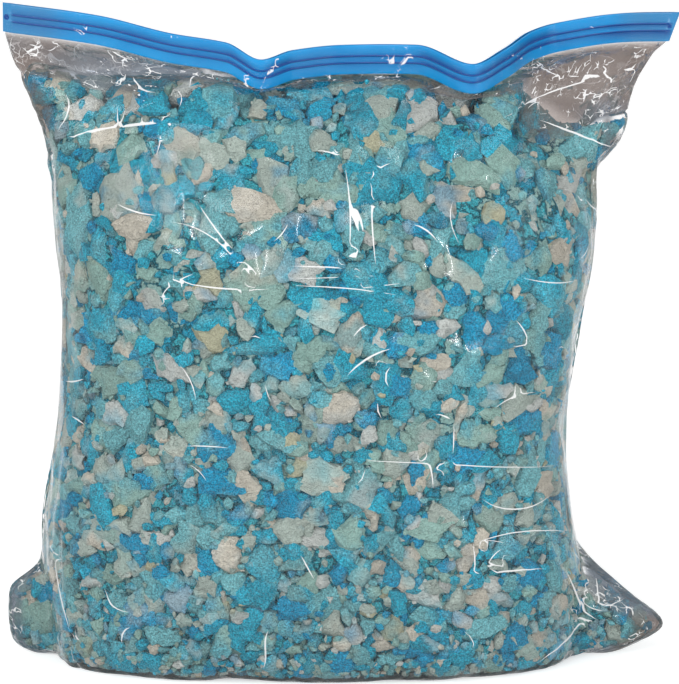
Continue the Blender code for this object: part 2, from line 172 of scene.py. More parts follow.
# along the mouth from left to right: place, sway to the back, rise
MOUTH_KEYS = ((-1.0, 0.2, 1.0), (-0.72, -0.05, 0.72), (-0.5, -0.5, 0.36), (-0.34, -0.8, 0.2),
              (-0.235, -0.95, -0.2), (-0.14, -0.55, -0.05), (0.0, -0.2, 0.0), (0.22, -0.4, 0.05),
              (0.385, -1.0, -0.3), (0.48, -0.4, -0.05), (0.56, 0.45, 0.2), (0.64, 0.8, 0.34),
              (0.75, 0.75, 0.52), (0.87, 0.45, 0.68), (1.0, 0.15, 0.76))
mouth_sway, mouth_rise = smooth_through(MOUTH_KEYS), smooth_through(MOUTH_KEYS, 2)


def evenly(points, count):
    """A path resampled to count even steps along it."""
    along = np.concatenate([[0], np.cumsum(np.linalg.norm(np.diff(points, axis=0), axis=1))])
    at = np.linspace(0, along[-1], count + 1)
    return np.stack([np.interp(at, along, points[:, i]) for i in range(points.shape[1])], axis=1)


def smooth_step(low, high, value):
    t = np.clip((value - low) / (high - low), 0, 1)
    return t * t * (3 - 2 * t)


s = np.linspace(-1, 1, 1201)
mouth_height = BAG_HEIGHT + mouth_rise(s) * MOUTH_RISE
mouth_line = np.stack([s * MOUTH_WIDTH / 2, mouth_sway(s) * MOUTH_SWAY, mouth_height], 1)
mouth_length = np.linalg.norm(np.diff(mouth_line, axis=0), axis=1).sum()
print(f"the mouth measures {mouth_length * 1000:.0f} mm along its waves")

# %% [markdown]
# ## One ring of the bag
#
# Every level of the bag is a closed outline: a squarish oval for the stuffed part, with a thin flap on
# either side where the front and back of the film are welded. In the ears at the base the flap is a wedge
# with some foam in it. Near the mouth the oval narrows to nothing and its middle line starts to wave.

# %% Half outlines: a middle line and a half thickness along it
SQUARENESS = 2.7
THINNEST_FOAM = 0.0025  # there is no foam where the film's two sides are nearer than twice this
EAR_ROOT, EAR_FOAM, EAR_INTO_BODY = 0.0012, 0.016, 0.012
THINNEST_FILM = 0.0006


def half_outline(share, columns, inset=0.0, depth=None, flaps=True):
    """The middle line (columns + 1 points) and the half thickness there, at a share of the bag's height."""
    left = BODY_SHIFT - BODY_WIDTH / 2 * left_form(share)
    right = BODY_SHIFT + BODY_WIDTH / 2 * right_form(share)
    middle, half_width = (left + right) / 2, (right - left) / 2 - inset
    half_depth = max(BODY_DEPTH / 2 * float(depth_form(share)) - inset, 0.0)
    reach = (SEAM_FIN + LEFT_EAR * float(left_ear(share)), SEAM_FIN + RIGHT_EAR * float(right_ear(share)))
    body = middle - half_width * np.cos(np.linspace(0, math.pi, 500))
    low = np.linspace(left - reach[0] + inset, body[0], 60, endpoint=False)
    high = np.linspace(body[-1], right + reach[1] - inset, 61)[1:]
    x = np.concatenate([low, body, high])
    across = np.clip(np.abs(x - middle) / half_width, 0, 1)
    oval = half_depth * (1 - across ** SQUARENESS) ** (1 / SQUARENESS)
    ear = np.zeros_like(x)
    for side, out, form in ((-1, reach[0], left_ear), (1, reach[1], right_ear)):
        tip = middle + side * (half_width + out)
        root = EAR_ROOT + EAR_FOAM * float(form(share)) * float(np.clip(share / 0.012, 0.3, 1))
        gone = np.clip((tip - x) * side / (out + EAR_INTO_BODY), 0, 1)
        ear = np.maximum(ear, np.where(gone < 1, root * gone ** 0.75 - inset * 0.7, 0))
    thick = np.sqrt(oval ** 2 + np.clip(ear, 0, None) ** 2)
    if depth is not None:
        thick = np.maximum(thick * depth, np.minimum(thick, THINNEST_FILM))
    if not flaps:
        filled = np.flatnonzero(thick > THINNEST_FOAM)
        x, thick = x[filled[0]:filled[-1] + 1], thick[filled[0]:filled[-1] + 1]
    even = evenly(np.stack([x, thick], 1), columns)
    return even[:, 0], even[:, 1]


x, thick = half_outline(0.4, 12)
print("widths across at 0.4 of the height", np.round(x * 1000), "mm")

# %% A whole ring, front and back
FOAM_TOP = 0.94  # share of the height where the foam ends
FLAT_SHARE = 0.955  # share of the height from which the outline only follows the mouth
MOUTH_GAP = 0.0026  # half the gap between the film's two sides below the zip
LEFT_SLOPE, RIGHT_SLOPE = 0.014, 0.028  # the foam's top is this much lower towards either side
RIGHT_SLANT, SLANT_POWER = 0.0056, 24  # the right end leans in by this much under the zip


def ring_at(share, columns, inset=0.0, depth=None, gap=MOUTH_GAP, flaps=True):
    """Front and back of one ring, each (columns + 1, 3), at a share of the height. Foam has no flaps."""
    x, thick = half_outline(min(share, FLAT_SHARE), columns, inset, depth, flaps)
    mouth = evenly(mouth_line, columns)
    across = np.linspace(-1, 1, columns + 1)
    wave = float(wave_form(share))
    out = np.where(across < 0, float(left_flare(share)), float(right_flare(share)))
    edge = np.abs(across) ** 14
    drop = np.zeros(columns + 1)
    if not flaps:  # the foam fills most of the left ear, and slopes down in front of the empty right one
        to_right = smooth_step(0.4, 1.0, across)
        to_left = smooth_step(-0.45, -0.75, across)
        out = np.where(across < 0, out * 0.6, wave)
        drop = (RIGHT_SLOPE * to_right + LEFT_SLOPE * to_left) * (share / FOAM_TOP) ** 8
        wave = wave * (1 - to_right)
    lead = wave + (out - wave) * edge
    x = x + (mouth[:, 0] - x) * lead
    middle = np.stack([x, mouth[:, 1] * wave], 1)
    thick = np.maximum(thick, (gap - inset) * wave)
    thick[0] = thick[-1] = 0.0
    run = np.gradient(middle, axis=0)
    normal = np.stack([-run[:, 1], run[:, 0]], 1) / np.linalg.norm(run, axis=1)[:, None]
    middle[:, 0] -= RIGHT_SLANT * wave * np.linspace(0, 1, columns + 1) ** SLANT_POWER
    z = share * BAG_HEIGHT + (mouth[:, 2] - BAG_HEIGHT) * np.maximum(wave, lead * 0.9) - drop
    return [np.column_stack([middle + normal * thick[:, None] * way, z]) for way in (-1, 1)]


front = ring_at(0.5, 8)[0]
print("the front of a ring at half height", np.round(front * 1000).tolist())

# %% [markdown]
# ## The press form: what the foam pushes against the film
#
# Thousands of chunks packed together make one lump with a slightly bumpy skin. That lump is needed twice:
# the film is stretched over it in a cloth simulation, and the chunks are pressed flat against it from
# inside. So it is built first, as a cylinder of rings, each moved onto its outline, with little dents
# between large chunks. A smaller copy of it stays as the middle of the foam, which shows only in the gaps
# between chunks.

# %% Build the press form and the core
RING_COLUMNS = 120
DENT_SPACING = 0.055
CLEAR_OF_FLOOR = 0.0014


def lump_dents(points, depth, size):
    """Soft noise in metres, the same wherever it is asked: sums of a few tilted waves."""
    count = 14
    dents = np.zeros(len(points))
    waves = np.random.default_rng(3)
    for i in range(count):
        way = waves.normal(size=3)
        way *= 2 * math.pi / (size * waves.uniform(0.7, 1.6)) / np.linalg.norm(way)
        dents += np.sin(points @ way + waves.uniform(0, 6.28))
    return dents / count ** 0.5 * depth


def press_form(name, inset, levels, dent, top=FOAM_TOP):
    """A closed lump through rings from the base to the top of the foam."""
    shares = np.concatenate([[0.0, 0.004], np.linspace(0.012, top - inset * 2, levels)])
    floor = CLEAR_OF_FLOOR + inset * 0.4
    bm = bmesh.new()
    bmesh.ops.create_cone(bm, cap_ends=True, segments=2 * RING_COLUMNS, radius1=1, radius2=1, depth=1)
    sides = [e for e in bm.edges if abs(e.verts[0].co.z - e.verts[1].co.z) > 0.5]
    bmesh.ops.subdivide_edges(bm, edges=sides, cuts=len(shares) - 2)
    rings = [ring_at(s, RING_COLUMNS, inset, gap=0.0008 + inset, flaps=False) for s in shares]
    for vert in bm.verts:
        level = round((vert.co.z + 0.5) * (len(shares) - 1))
        angle = math.atan2(vert.co.y, vert.co.x)
        turn = round(angle / (2 * math.pi) * 2 * RING_COLUMNS) % (2 * RING_COLUMNS)
        column = RING_COLUMNS - turn if turn <= RING_COLUMNS else turn - RING_COLUMNS
        vert.co = rings[level][1 if turn <= RING_COLUMNS else 0][column]
        vert.co.z = max(vert.co.z if level else 0.0, floor)
    bmesh.ops.recalc_face_normals(bm, faces=bm.faces)
    lump = piece_from(bm, name)
    at, out = positions(lump), normals(lump)
    room = np.clip(np.abs(at[:, 1]) / 0.03, 0, 1)
    at += out * ((lump_dents(at, dent, DENT_SPACING) - dent) * room)[:, None]
    at[:, 2] = np.maximum(at[:, 2], floor)
    move_to(lump, at)
    return lump


press = press_form("press_form", 0.0016, 60, 0.0012)
core = press_form("foam_core", 0.0080, 40, 0.0, top=0.905)
print("press form", len(press.data.polygons), "faces, core", len(core.data.polygons))

# %% [markdown]
# ## The film
#
# The real bag is one sheet of film, folded at the base and welded up both sides. It is cut flat, 406 mm
# wide and 914 mm long, so the model starts as a flat grid of that size, with the flat sheet as its UV map.
# Four walls would be simpler, but film has no seam at the base, and its creases run round that fold. Each
# point is laid on the bag's outline. The film is a little larger than the shape that it covers, and the
# spare length has to go somewhere: it buckles into the creases that make film look like film.

# %% Cut the sheet and lay it round the form
SHEET_WIDTH, SHEET_LENGTH = 0.406, 0.914
COLUMNS, HALF_ROWS = 96, 110
BAND_TOP = 0.0010  # the film ends this far below the zip's top edge
BASE_STEPS, SIDE_STEPS = 60, 600


def path_levels():
    """Shares of the height and of the depth for each row of the sheet, from the base fold up to the mouth."""
    fine = np.linspace(0, FLAT_SHARE, SIDE_STEPS)
    depth = np.array([BODY_DEPTH / 2 * float(depth_form(f)) for f in fine])
    base = np.column_stack([np.linspace(0, depth[0], BASE_STEPS, endpoint=False), np.zeros(BASE_STEPS)])
    line = np.concatenate([base, np.column_stack([depth, fine * BAG_HEIGHT])])
    along = np.concatenate([[0], np.cumsum(np.linalg.norm(np.diff(line, axis=0), axis=1))])
    shares = np.concatenate([np.zeros(BASE_STEPS), fine])
    depths = np.concatenate([np.linspace(0, 1, BASE_STEPS, endpoint=False), np.ones(SIDE_STEPS)])
    at = np.linspace(0, along[-1], HALF_ROWS - 3)
    return np.interp(at, along, shares), np.interp(at, along, depths)


def lay_sheet():
    """Every row of the sheet on the bag's outline, and three more rows up between the zip strips."""
    levels = zip(*path_levels())
    rows = [ring_at(share, COLUMNS, depth=depth if depth < 1 else None) for share, depth in levels]
    mouth = rows[-1]
    rise = BAG_HEIGHT - BAND_TOP - mouth[0][:, 2].mean() + (mouth_line[:, 2].mean() - BAG_HEIGHT)
    lean = np.zeros((COLUMNS + 1, 3))
    lean[:, 0] = RIGHT_SLANT * np.linspace(0, 1, COLUMNS + 1) ** SLANT_POWER
    for up in (1 / 3, 2 / 3, 1.0):
        rows.append([side + np.array([0, 0, rise * up]) + lean * up for side in mouth])
    return np.array(rows)  # (rows, side, column, xyz)


laid = lay_sheet()
print("the laid sheet runs from", laid.min((0, 1, 2)).round(3), "to", laid.max((0, 1, 2)).round(3))

# %% Make the pouch from a flat grid
bm = bmesh.new()
bm.loops.layers.uv.new("UVMap")
bmesh.ops.create_grid(bm, x_segments=COLUMNS, y_segments=2 * HALF_ROWS - 2, size=0.5, calc_uvs=True)
flat = bm.verts.layers.float_vector.new("flat")
for vert in bm.verts:
    across, along = vert.co.x + 0.5, vert.co.y + 0.5
    row = round(along * (2 * HALF_ROWS - 2)) - (HALF_ROWS - 1)
    vert[flat] = (across * SHEET_WIDTH, along * SHEET_LENGTH, 0)
    vert.co = laid[min(abs(row), len(laid) - 1), 0 if row < 0 else 1, round(across * COLUMNS)]
bmesh.ops.remove_doubles(bm, verts=bm.verts[:], dist=1e-6)
bmesh.ops.recalc_face_normals(bm, faces=bm.faces)
film = piece_from(bm, "film_pouch")
print("film", len(film.data.vertices), "points")

# %% [markdown]
# ## Let the film crease
#
# Noise could push the film about, but it would stretch it too, and film hardly stretches: it folds. A cloth
# simulation knows that. In it each stretch of film is given a little more length than it has been laid
# with, most where the bag is slack, at the ears, the welded edges and under the zip. The press form is
# inside it and the floor under it, and the mouth is held still by the zip.

# %% Where the film is slack, and where it is held
FOAM_THAT_SHOWS = 0.011  # thinner foam counts as none
foam_skin = skin_of(press)


def gap_to(skin, points):
    """Distance of each point from a surface, negative inside it."""
    found = np.zeros(len(points))
    for i, point in enumerate(points):
        near, out, _, away = skin.find_nearest(Vector(point))
        found[i] = away if (Vector(point) - near).dot(out) >= 0 else -away
    return found


def depth_of_foam(points, ways, most=0.03):
    """How far behind each point the foam begins, looking level into the bag."""
    deep = np.full(len(points), most)
    for i, way in enumerate(ways):
        look = Vector((-way[0], -way[1], 0)).normalized()
        near, _, _, away = foam_skin.ray_cast(Vector(points[i]), look, most)
        if away is not None and (foam_skin.ray_cast(near + look * 0.0004, look)[3] or 1) > FOAM_THAT_SHOWS:
            deep[i] = away
    return deep


at = positions(film)
stand_off = gap_to(foam_skin, at)
behind = depth_of_foam(at, normals(film))
flat_x, flat_y = (np.array([d.vector[i] for d in film.data.attributes["flat"].data]) for i in (0, 1))
from_edge = np.minimum(flat_x, SHEET_WIDTH - flat_x)
from_mouth = np.minimum(flat_y, SHEET_LENGTH - flat_y)
slack = np.clip(smooth_step(0.003, 0.012, stand_off) + smooth_step(0.05, 0.0, from_edge) * 0.4, 0.3, 1)
held = np.clip(smooth_step(0.021, 0.018, from_mouth) + smooth_step(0.0012, 0.0004, at[:, 2]), 0, 1)
held = np.maximum(held, 0.6 * smooth_step(0.010, 0.003, from_edge))
slack *= smooth_step(0.017, 0.03, from_mouth)
print(f"slack film {100 * (slack > 0.5).mean():.0f} %, held {100 * (held > 0.5).mean():.0f} %")

# %% The floor, the form and the film as things that can be simulated
SPARE_LENGTH = 0.14
FRAMES = 22


def point_group(piece, name, weights):
    group = piece.vertex_groups.new(name=name)
    for i, weight in enumerate(weights):
        if weight > 0.001:
            group.add([i], float(weight), "REPLACE")
    return name


def solid(thing):
    """Something that film can't pass through."""
    thing.modifiers.new("hit", "COLLISION")
    thing.collision.thickness_outer = 0.0006
    thing.collision.cloth_friction = 6
    thing.collision.damping = 0.8


def as_film(piece):
    """Cloth that is stiff along itself, bends at a touch, and has spare length where it is slack."""
    cloth = piece.modifiers.new("film", "CLOTH")
    s = cloth.settings
    s.quality = 5
    s.mass = 0.02
    s.tension_stiffness = s.compression_stiffness = 30
    s.shear_stiffness = 12
    s.bending_stiffness = 0.02
    s.tension_damping = s.compression_damping = s.shear_damping = 10
    s.bending_damping = 0.3
    s.air_damping = 3
    s.effector_weights.gravity = 0.0
    s.vertex_group_mass = point_group(piece, "held_points", held)
    s.vertex_group_shrink = point_group(piece, "spare_length", slack)
    s.shrink_min, s.shrink_max = 0.0, -SPARE_LENGTH
    s.use_pressure = True
    s.uniform_pressure_force = -0.15
    cloth.collision_settings.distance_min = 0.0009
    cloth.collision_settings.collision_quality = 2
    cloth.collision_settings.use_self_collision = False
    cloth.point_cache.frame_end = FRAMES
    return cloth


print(f"up to {SPARE_LENGTH:.0%} of spare length")

# %% Run the cloth simulation
MOST_MOVE = 0.014


def crease_film():
    """Where the film's points settle. It starts with a faint unevenness, so that it has where to buckle."""
    at[:] += normals(film) * (lump_dents(at, 0.0004, 0.013) * (1 - held))[:, None]
    move_to(film, at)
    bpy.ops.mesh.primitive_plane_add(size=2)
    ground = bpy.context.object
    solid(press)
    solid(ground)
    cloth = as_film(film)
    for number in range(1, FRAMES + 1):
        scene.frame_set(number)
    creased = bpy.data.meshes.new_from_object(film.evaluated_get(bpy.context.evaluated_depsgraph_get()))
    film.modifiers.remove(cloth)
    scene.frame_set(1)
    bpy.data.objects.remove(ground)
    press.modifiers.remove(press.modifiers["hit"])
    end = np.zeros(len(at) * 3)
    creased.vertices.foreach_get("co", end)
    return end.reshape(-1, 3)


settled = crease_film()
step = settled - at
far = np.linalg.norm(step, axis=1)
settled = at + step * np.minimum(1, MOST_MOVE / np.maximum(far, 1e-9))[:, None]
move_to(film, settled)
print(f"film settled: it moved {far.mean() * 1000:.1f} mm on average and {far.max() * 1000:.1f} mm at most")

# %% [markdown]
# Handled film is never smooth between its creases: it is crumpled into flat facets. A simulation as fine as
# that would take far too long, so the facets are laid over its result. Each point is moved out by its
# distance from the nearest facet's middle, which gives shallow dishes with ridges between them.

# %% Crumple it into facets
MOST_CRUMPLE = 0.003


def facets(cell):
    """Distance on the flat sheet from the middle of the nearest facet, for facets of about one size."""
    count = int(SHEET_WIDTH * SHEET_LENGTH / cell ** 2)
    middles = KDTree(count)
    for i in range(count):
        middles.insert((rng.uniform(0, SHEET_WIDTH), rng.uniform(0, SHEET_LENGTH), 0), i)
    middles.balance()
    return np.array([middles.find((x, y, 0))[2] for x, y in zip(flat_x, flat_y)])


crumple = 0.07 * facets(0.045) + 0.11 * facets(0.018) * (0.5 + slack)
crumple = MOST_CRUMPLE * np.tanh(crumple / MOST_CRUMPLE)
crumple = crumple * smooth_step(0.0, 0.012, from_edge) * smooth_step(0.018, 0.03, from_mouth)
settled += normals(film) * crumple[:, None]
settled[:, 2] = np.maximum(settled[:, 2], 0.0002)
move_to(film, settled)
print(f"facets stand out by up to {crumple.max() * 1000:.1f} mm")

# %% [markdown]
# Foam springs back until the film stops it, so the form that the chunks are pressed against now swells out
# to the settled film. Without this step there is a see-through rim along the base, which no real bag has.

# %% Fill the foam out to the film
MOST_SWELL = 0.004
film_skin = skin_of(film)


def fill_out(form, gap):
    """Moves each point of a form out until it is a gap away from the film, by so much at most."""
    at, out = positions(form), normals(form)
    move = np.zeros(len(at))
    for i in range(len(at)):
        away = film_skin.ray_cast(Vector(at[i]), Vector(out[i]), gap + 2 * MOST_SWELL)[3]
        move[i] = 0 if away is None else min(max(away - gap, 0), MOST_SWELL)
    move_to(form, at + out * move[:, None])
    print(f"{form.name} swells by {move.mean() * 1000:.1f} mm on average")


fill_out(press, 0.0009)
fill_out(core, 0.0050)
foam_skin = skin_of(press)

# %% [markdown]
# ## The foam
#
# The bag holds about a thousand torn chunks and several thousand crumbs. Each chunk began as a slab that a
# shredder tore: a few flat broken faces with ragged edges between them. Modelled by hand they would take
# weeks, and copies of a few would soon be recognised. So the script copies a rough ball many times and cuts
# each copy with its own random planes, and no two are alike. Each gets one of eight shades, and is blotched
# with a second one.

# %% Shades of the foam, and each one's share of the chunks
SHADES = {
    "cream": ((0.49, 0.46, 0.39), 0.07),
    "white": ((0.46, 0.49, 0.47), 0.06),
    "grey_mint": ((0.35, 0.42, 0.38), 0.14),
    "mint": ((0.24, 0.40, 0.36), 0.12),
    "pale_aqua": ((0.14, 0.39, 0.43), 0.21),
    "aqua": ((0.018, 0.33, 0.46), 0.26),
    "blue": ((0.006, 0.27, 0.46), 0.12),
    "straw": ((0.40, 0.40, 0.28), 0.02),
}


def pick_shades(count, known=None):
    """A shade for each chunk, and the second shade that it is blotched with."""
    table = np.array([colour for colour, _ in SHADES.values()])
    share = np.array([part for _, part in SHADES.values()])
    first = rng.choice(len(table), count, p=share / share.sum())
    second = rng.choice(len(table), count, p=share / share.sum())
    if known:
        first[:] = list(SHADES).index(known)
    tone = rng.normal(0.94, 0.06, (count, 1))
    return np.clip(table[first] * tone, 0, 0.9), np.clip(table[second] * tone, 0, 0.9)


print("shades", ", ".join(SHADES))

# %% A rough ball, and many copies of it in one mesh
PLANES = 6


def copies(name, detail, count):
    """One mesh of many balls, which an Array modifier lays on top of each other."""
    bm = bmesh.new()
    bmesh.ops.create_icosphere(bm, subdivisions=detail, radius=1)
    piece = piece_from(bm, name)
    ball = piece.data
    array = piece.modifiers.new("copies", "ARRAY")
    array.count = count
    array.use_relative_offset = False
    mesh = bpy.data.meshes.new_from_object(piece.evaluated_get(bpy.context.evaluated_depsgraph_get()))
    piece.modifiers.clear()
    piece.data = mesh
    bpy.data.meshes.remove(ball)
    mesh.name = name
    return piece


def torn(ball, count, sizes, rag):
    """Cuts each copy of a ball of directions with random planes, then tears it coarsely and finely."""
    normal = rng.normal(size=(count, PLANES, 3))
    normal /= np.linalg.norm(normal, axis=2)[:, :, None]
    depth = rng.uniform(0.40, 0.80, (count, PLANES))
    facing = np.einsum("vi,cpi->cvp", ball, normal)
    reach = np.where(facing > 0.05, depth[:, None, :] / np.maximum(facing, 0.05), 9).min(2)
    reach = np.minimum(reach, 1.12)
    way = rng.normal(0, 2.6, (count, 3, 3))
    lobes = np.sin(np.einsum("vi,cki->cvk", ball, way) + rng.uniform(0, 6.28, (count, 1, 3))).sum(2)
    reach *= (1 + 0.07 * lobes) * rng.normal(1.0, rag, (count, len(ball)))
    stretch = rng.uniform(0.75, 1.2, (count, 1, 3))
    return ball[None] * np.clip(reach, 0.3, 1.4)[:, :, None] * stretch * sizes[:, None, None] / 2


print("each copy is cut by", PLANES, "planes")

# %% [markdown]
# ## Packing the chunks
#
# The chunks could fall into the bag in a simulation, but thousands of them would take hours to come to
# rest. What shows is only how they lie against the film. So the large chunks sit where the CAD model has
# them, and the others are dropped in by size, the largest first. A place is drawn at random on the press
# form, pushed in by part of the chunk's own size, and kept only if it is clear of the chunks that are there
# already. Low in the bag the pieces are smaller, because crumbs sift down. Space is split into cubes, 20 mm
# across, and a list for each says what lies in it, so that a new chunk is compared with its neighbours
# only.

# %% Room for one more chunk
CELL = 0.020
LOOSEST = 0.66  # share of a much larger neighbour's size that stays clear of a chunk's middle
UPPER_PART = 0.26  # below this height the pieces get smaller
packed = {}


def cell_of(point):
    return tuple(int(math.floor(c / CELL)) for c in point)


def put_in(point, size):
    packed.setdefault(cell_of(point), []).append((*point, size))


def has_room(centre, size, pack):
    home = cell_of(centre)
    for step in itertools.product((-1, 0, 1), repeat=3):
        for x, y, z, other in packed.get(tuple(c + s for c, s in zip(home, step)), ()):
            near = (pack * size + (pack if other < size * 1.5 else LOOSEST) * other) / 2
            if (x - centre[0]) ** 2 + (y - centre[1]) ** 2 + (z - centre[2]) ** 2 < near * near:
                return False
    return True


print("chunks are listed in cubes of", CELL * 1000, "mm")

# %% Drop chunks in at random places
def places_on(piece, count, below):
    """Random points on a mesh with its outward normal there, more where its faces are larger."""
    faces = piece.data.polygons
    area = np.array([p.area * (0.3 if p.normal.z < -0.7 else 1.0) * (p.center.z < below) for p in faces])
    centre = np.array([p.center for p in faces])
    out = np.array([p.normal for p in faces])
    pick = rng.choice(len(area), count, p=area / area.sum())
    return centre[pick] + rng.normal(0, 0.0015, (count, 3)), out[pick]


def drop_in(tries, low, high, pack, deepest, below=1.0, sunk=0.0):
    """Centres and sizes of the chunks that found room."""
    points, out = places_on(press, tries, below)
    start = zip(points, out)
    thick = np.array([foam_skin.ray_cast(Vector(p - n * 0.0002), Vector(-n))[3] or 0 for p, n in start])
    enough = thick > low * 0.6
    points, out, thick = points[enough], out[enough], thick[enough]
    up = points[:, 2] / UPPER_PART
    sizes = rng.uniform(low, high, len(points)) * (0.72 + 0.38 * np.clip(up, 0, 1))
    depths = sizes * rng.uniform(0.16, 0.4, len(points)) + rng.uniform(0, 1, len(points)) ** 2 * deepest
    depths += sunk * np.clip(0.3 + up, 0, 1)
    centres = points - out * np.minimum(depths, thick * 0.5)[:, None]
    kept = []
    for i, (centre, size) in enumerate(zip(centres, sizes)):
        if has_room(centre, size, pack):
            put_in(centre, size)
            kept.append(i)
    return centres[kept], sizes[kept]


print(f"pieces are smaller below {UPPER_PART * 1000:.0f} mm")

# %% The large chunks stand where the CAD model has them
chunk_nodes = sorted(n for n in frame["nodes"] if n.startswith("foam_chunk_"))
large = []
for node in chunk_nodes:
    low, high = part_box(node)
    large.append(((low + high) / 2, max(high - low) * 1.04))
    put_in(*large[-1])
large_mm = [size * 1000 for _, size in large]
print(f"{len(large)} large chunks, {min(large_mm):.0f} to {max(large_mm):.0f} mm")

# %% The rest, by size: name, detail of the rough ball, crumbs on each one's edges, places and sizes
sorts = [("foam_chunks_big", 2, 17, drop_in(2400, 0.021, 0.030, 0.60, 0.002)),
         ("foam_chunks", 2, 6, drop_in(12000, 0.015, 0.021, 0.46, 0.005)),
         ("foam_bits", 2, 2, drop_in(24000, 0.010, 0.014, 0.40, 0.006, sunk=0.0010)),
         ("foam_crumbs", 1, 0, drop_in(40000, 0.005, 0.009, 0.34, 0.006, sunk=0.0015)),
         ("foam_dust", 1, 0, drop_in(9000, 0.006, 0.009, 0.36, 0.0005, below=0.015))]
for name, _, _, (centres, _) in sorts:
    print(name, len(centres))

# %% [markdown]
# ## Pressing them against the film
#
# A stuffed bag shows flat chunk faces, because the film presses on them. Each point of a chunk that pokes
# out of the press form or the film is drawn back towards the chunk's own middle, so the chunk ends in a
# flat cut there. Each chunk stops at its own small distance from the film, so that neighbours don't melt
# into one smooth wall.

# %% Keep middles clear of the film, and press points in
LEAST_GAP, MOST_GAP = 0.0003, 0.0018
DEEPEST_MOVE = 0.005


def settle(centres, sizes):
    """Moves middles that are too near a skin inwards, and returns each one's outward direction."""
    out_of_bag = np.zeros((len(centres), 3))
    for skin in (foam_skin, film_skin):
        for i in range(len(centres)):
            near, out, _, _ = skin.find_nearest(Vector(centres[i]))
            short = 0.18 * sizes[i] + 0.0006 - (near - Vector(centres[i])).dot(out)
            centres[i] -= np.array(out) * min(max(short, 0.0), DEEPEST_MOVE)
            out_of_bag[i] = out
    return out_of_bag


def press_in(points, owner, centres, gaps):
    """Cuts each chunk off at its own gap inside the skins, along the lines from its middle."""
    for skin in (foam_skin, film_skin):
        for i in range(len(points)):
            middle = Vector(centres[owner[i]])
            way = Vector(points[i]) - middle
            reach = max(way.length, 1e-6)
            way /= reach
            gap = gaps[owner[i]]
            _, out, _, away = skin.ray_cast(middle, way, reach + 3 * gap)
            if away is not None and out.dot(way) > 0:
                room = away - gap / max(out.dot(way), 0.35)
                points[i] = middle + way * min(reach, max(room, 0.1 * reach))
    return points


print("chunks stop", LEAST_GAP * 1000, "mm or more short of the film")

# %% Colours on the points of chunks, and places on their outlines
def paint_shade(piece, name, colours, each):
    """One colour for each chunk, a little lighter or darker from point to point."""
    layer = piece.data.color_attributes.new(name=name, type="FLOAT_COLOR", domain="POINT")
    rows = np.repeat(np.column_stack([colours, np.ones(len(colours))]), each, axis=0)
    rows[:, :3] *= rng.normal(1.0, 0.07, (len(rows), 1))
    layer.data.foreach_set("color", np.clip(rows, 0, 1).astype(np.float32).ravel())


def outline_spots(points, centres, sizes, out, count):
    """For each chunk a few points on its outline, as seen from outside the bag."""
    ways = points - centres[:, None, :]
    side_on = np.abs(np.einsum("cvi,ci->cv", ways, out)) / sizes[:, None]
    side_on = side_on + rng.uniform(0, 0.12, ways.shape[:2])
    pick = np.argsort(side_on, axis=1)[:, :count, None]
    return (centres[:, None, :] + np.take_along_axis(ways, pick, 1) * 0.96).reshape(-1, 3)


print("places for crumbs are taken from the outline that shows")

# %% [markdown]
# Torn foam has no clean edge: little crumbs hang from it. A texture could paint them, but the chunk's
# outline would stay smooth. So crumbs are laid on the outline of each chunk, in its own colour made
# lighter as a painted highlight on the rim. They are rough balls of only twenty faces, since there are
# thousands.

# %% Chunks of one sort, with the crumbs on their edges
CRUMB_SIZES = (0.0016, 0.0036)
# crumbs on the rims are this much lighter than their chunk: a painted highlight
CRUMB_RIM_HIGHLIGHT = 1.15
SQUEEZED = 1.08  # soft foam squeezes together, so chunks may be this much larger than their room


def chunks(name, detail, centres, sizes, rag=0.13, shades=None, crumbs=0):
    """Torn chunks of one sort, and another piece with the crumbs that hang on their edges."""
    piece = copies(name, detail, len(centres))
    each = len(piece.data.vertices) // len(centres)
    ball = positions(piece)[:each]
    out = settle(centres, sizes)
    shades = pick_shades(len(centres)) if shades is None else shades
    points = (torn(ball, len(centres), sizes, rag) + centres[:, None, :]).reshape(-1, 3)
    owner = np.repeat(np.arange(len(centres)), each)
    most = min(MOST_GAP, 0.12 * sizes.min())
    points = press_in(points, owner, centres, LEAST_GAP + most * rng.uniform(0, 1, len(centres)) ** 1.5)
    points[:, 2] = np.maximum(points[:, 2], 0.0010)
    move_to(piece, points)
    for label, colours in zip(("shade", "blotch"), shades):
        paint_shade(piece, label, colours, each)
    smooth_faces(piece.data, sharp=38)
    made = [piece]
    if crumbs:
        spots = outline_spots(points.reshape(len(centres), each, 3), centres, sizes, out, crumbs)
        fine = rng.uniform(*CRUMB_SIZES, len(spots))
        # the crumbs' colours made lighter: a painted highlight on each chunk's rim
        lighter = [np.repeat(s * CRUMB_RIM_HIGHLIGHT, crumbs, axis=0) for s in shades]
        made += chunks(name + "_edges", 1, spots, fine, shades=lighter)
    print(f"{name}: {len(centres)} pieces, {len(piece.data.polygons)} faces")
    return made


mixed_foam = []
for name, detail, crumbs, (centres, sizes) in sorts:
    mixed_foam += chunks(name, detail, centres, sizes * SQUEEZED, crumbs=crumbs)

# %% The large chunks, each in the shade that the record gives its node
slot_of = {part["node"]: part["material_slot"] for part in frame["record"]["subparts"]}
torn_chunks, their_edges = [], []
for node, (centre, size) in zip(chunk_nodes, large):
    shades = pick_shades(1, known=slot_of[node].replace("foam_", ""))
    name = node.replace("foam_chunk", "torn_chunk")
    chunk, edge = chunks(name, 4, np.array([centre]), np.array([size]), 0.03, shades, 40)
    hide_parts(node)
    torn_chunks.append(chunk)
    their_edges.append(edge)
with bpy.context.temp_override(active_object=their_edges[0], selected_editable_objects=their_edges):
    bpy.ops.object.join()
torn_edges = their_edges[0]
torn_edges.name = "torn_chunk_edges"
foam_pieces = [*mixed_foam, *torn_chunks, torn_edges]
mixed_foam.append(torn_edges)
print(len(foam_pieces), "pieces of foam in front of the core")

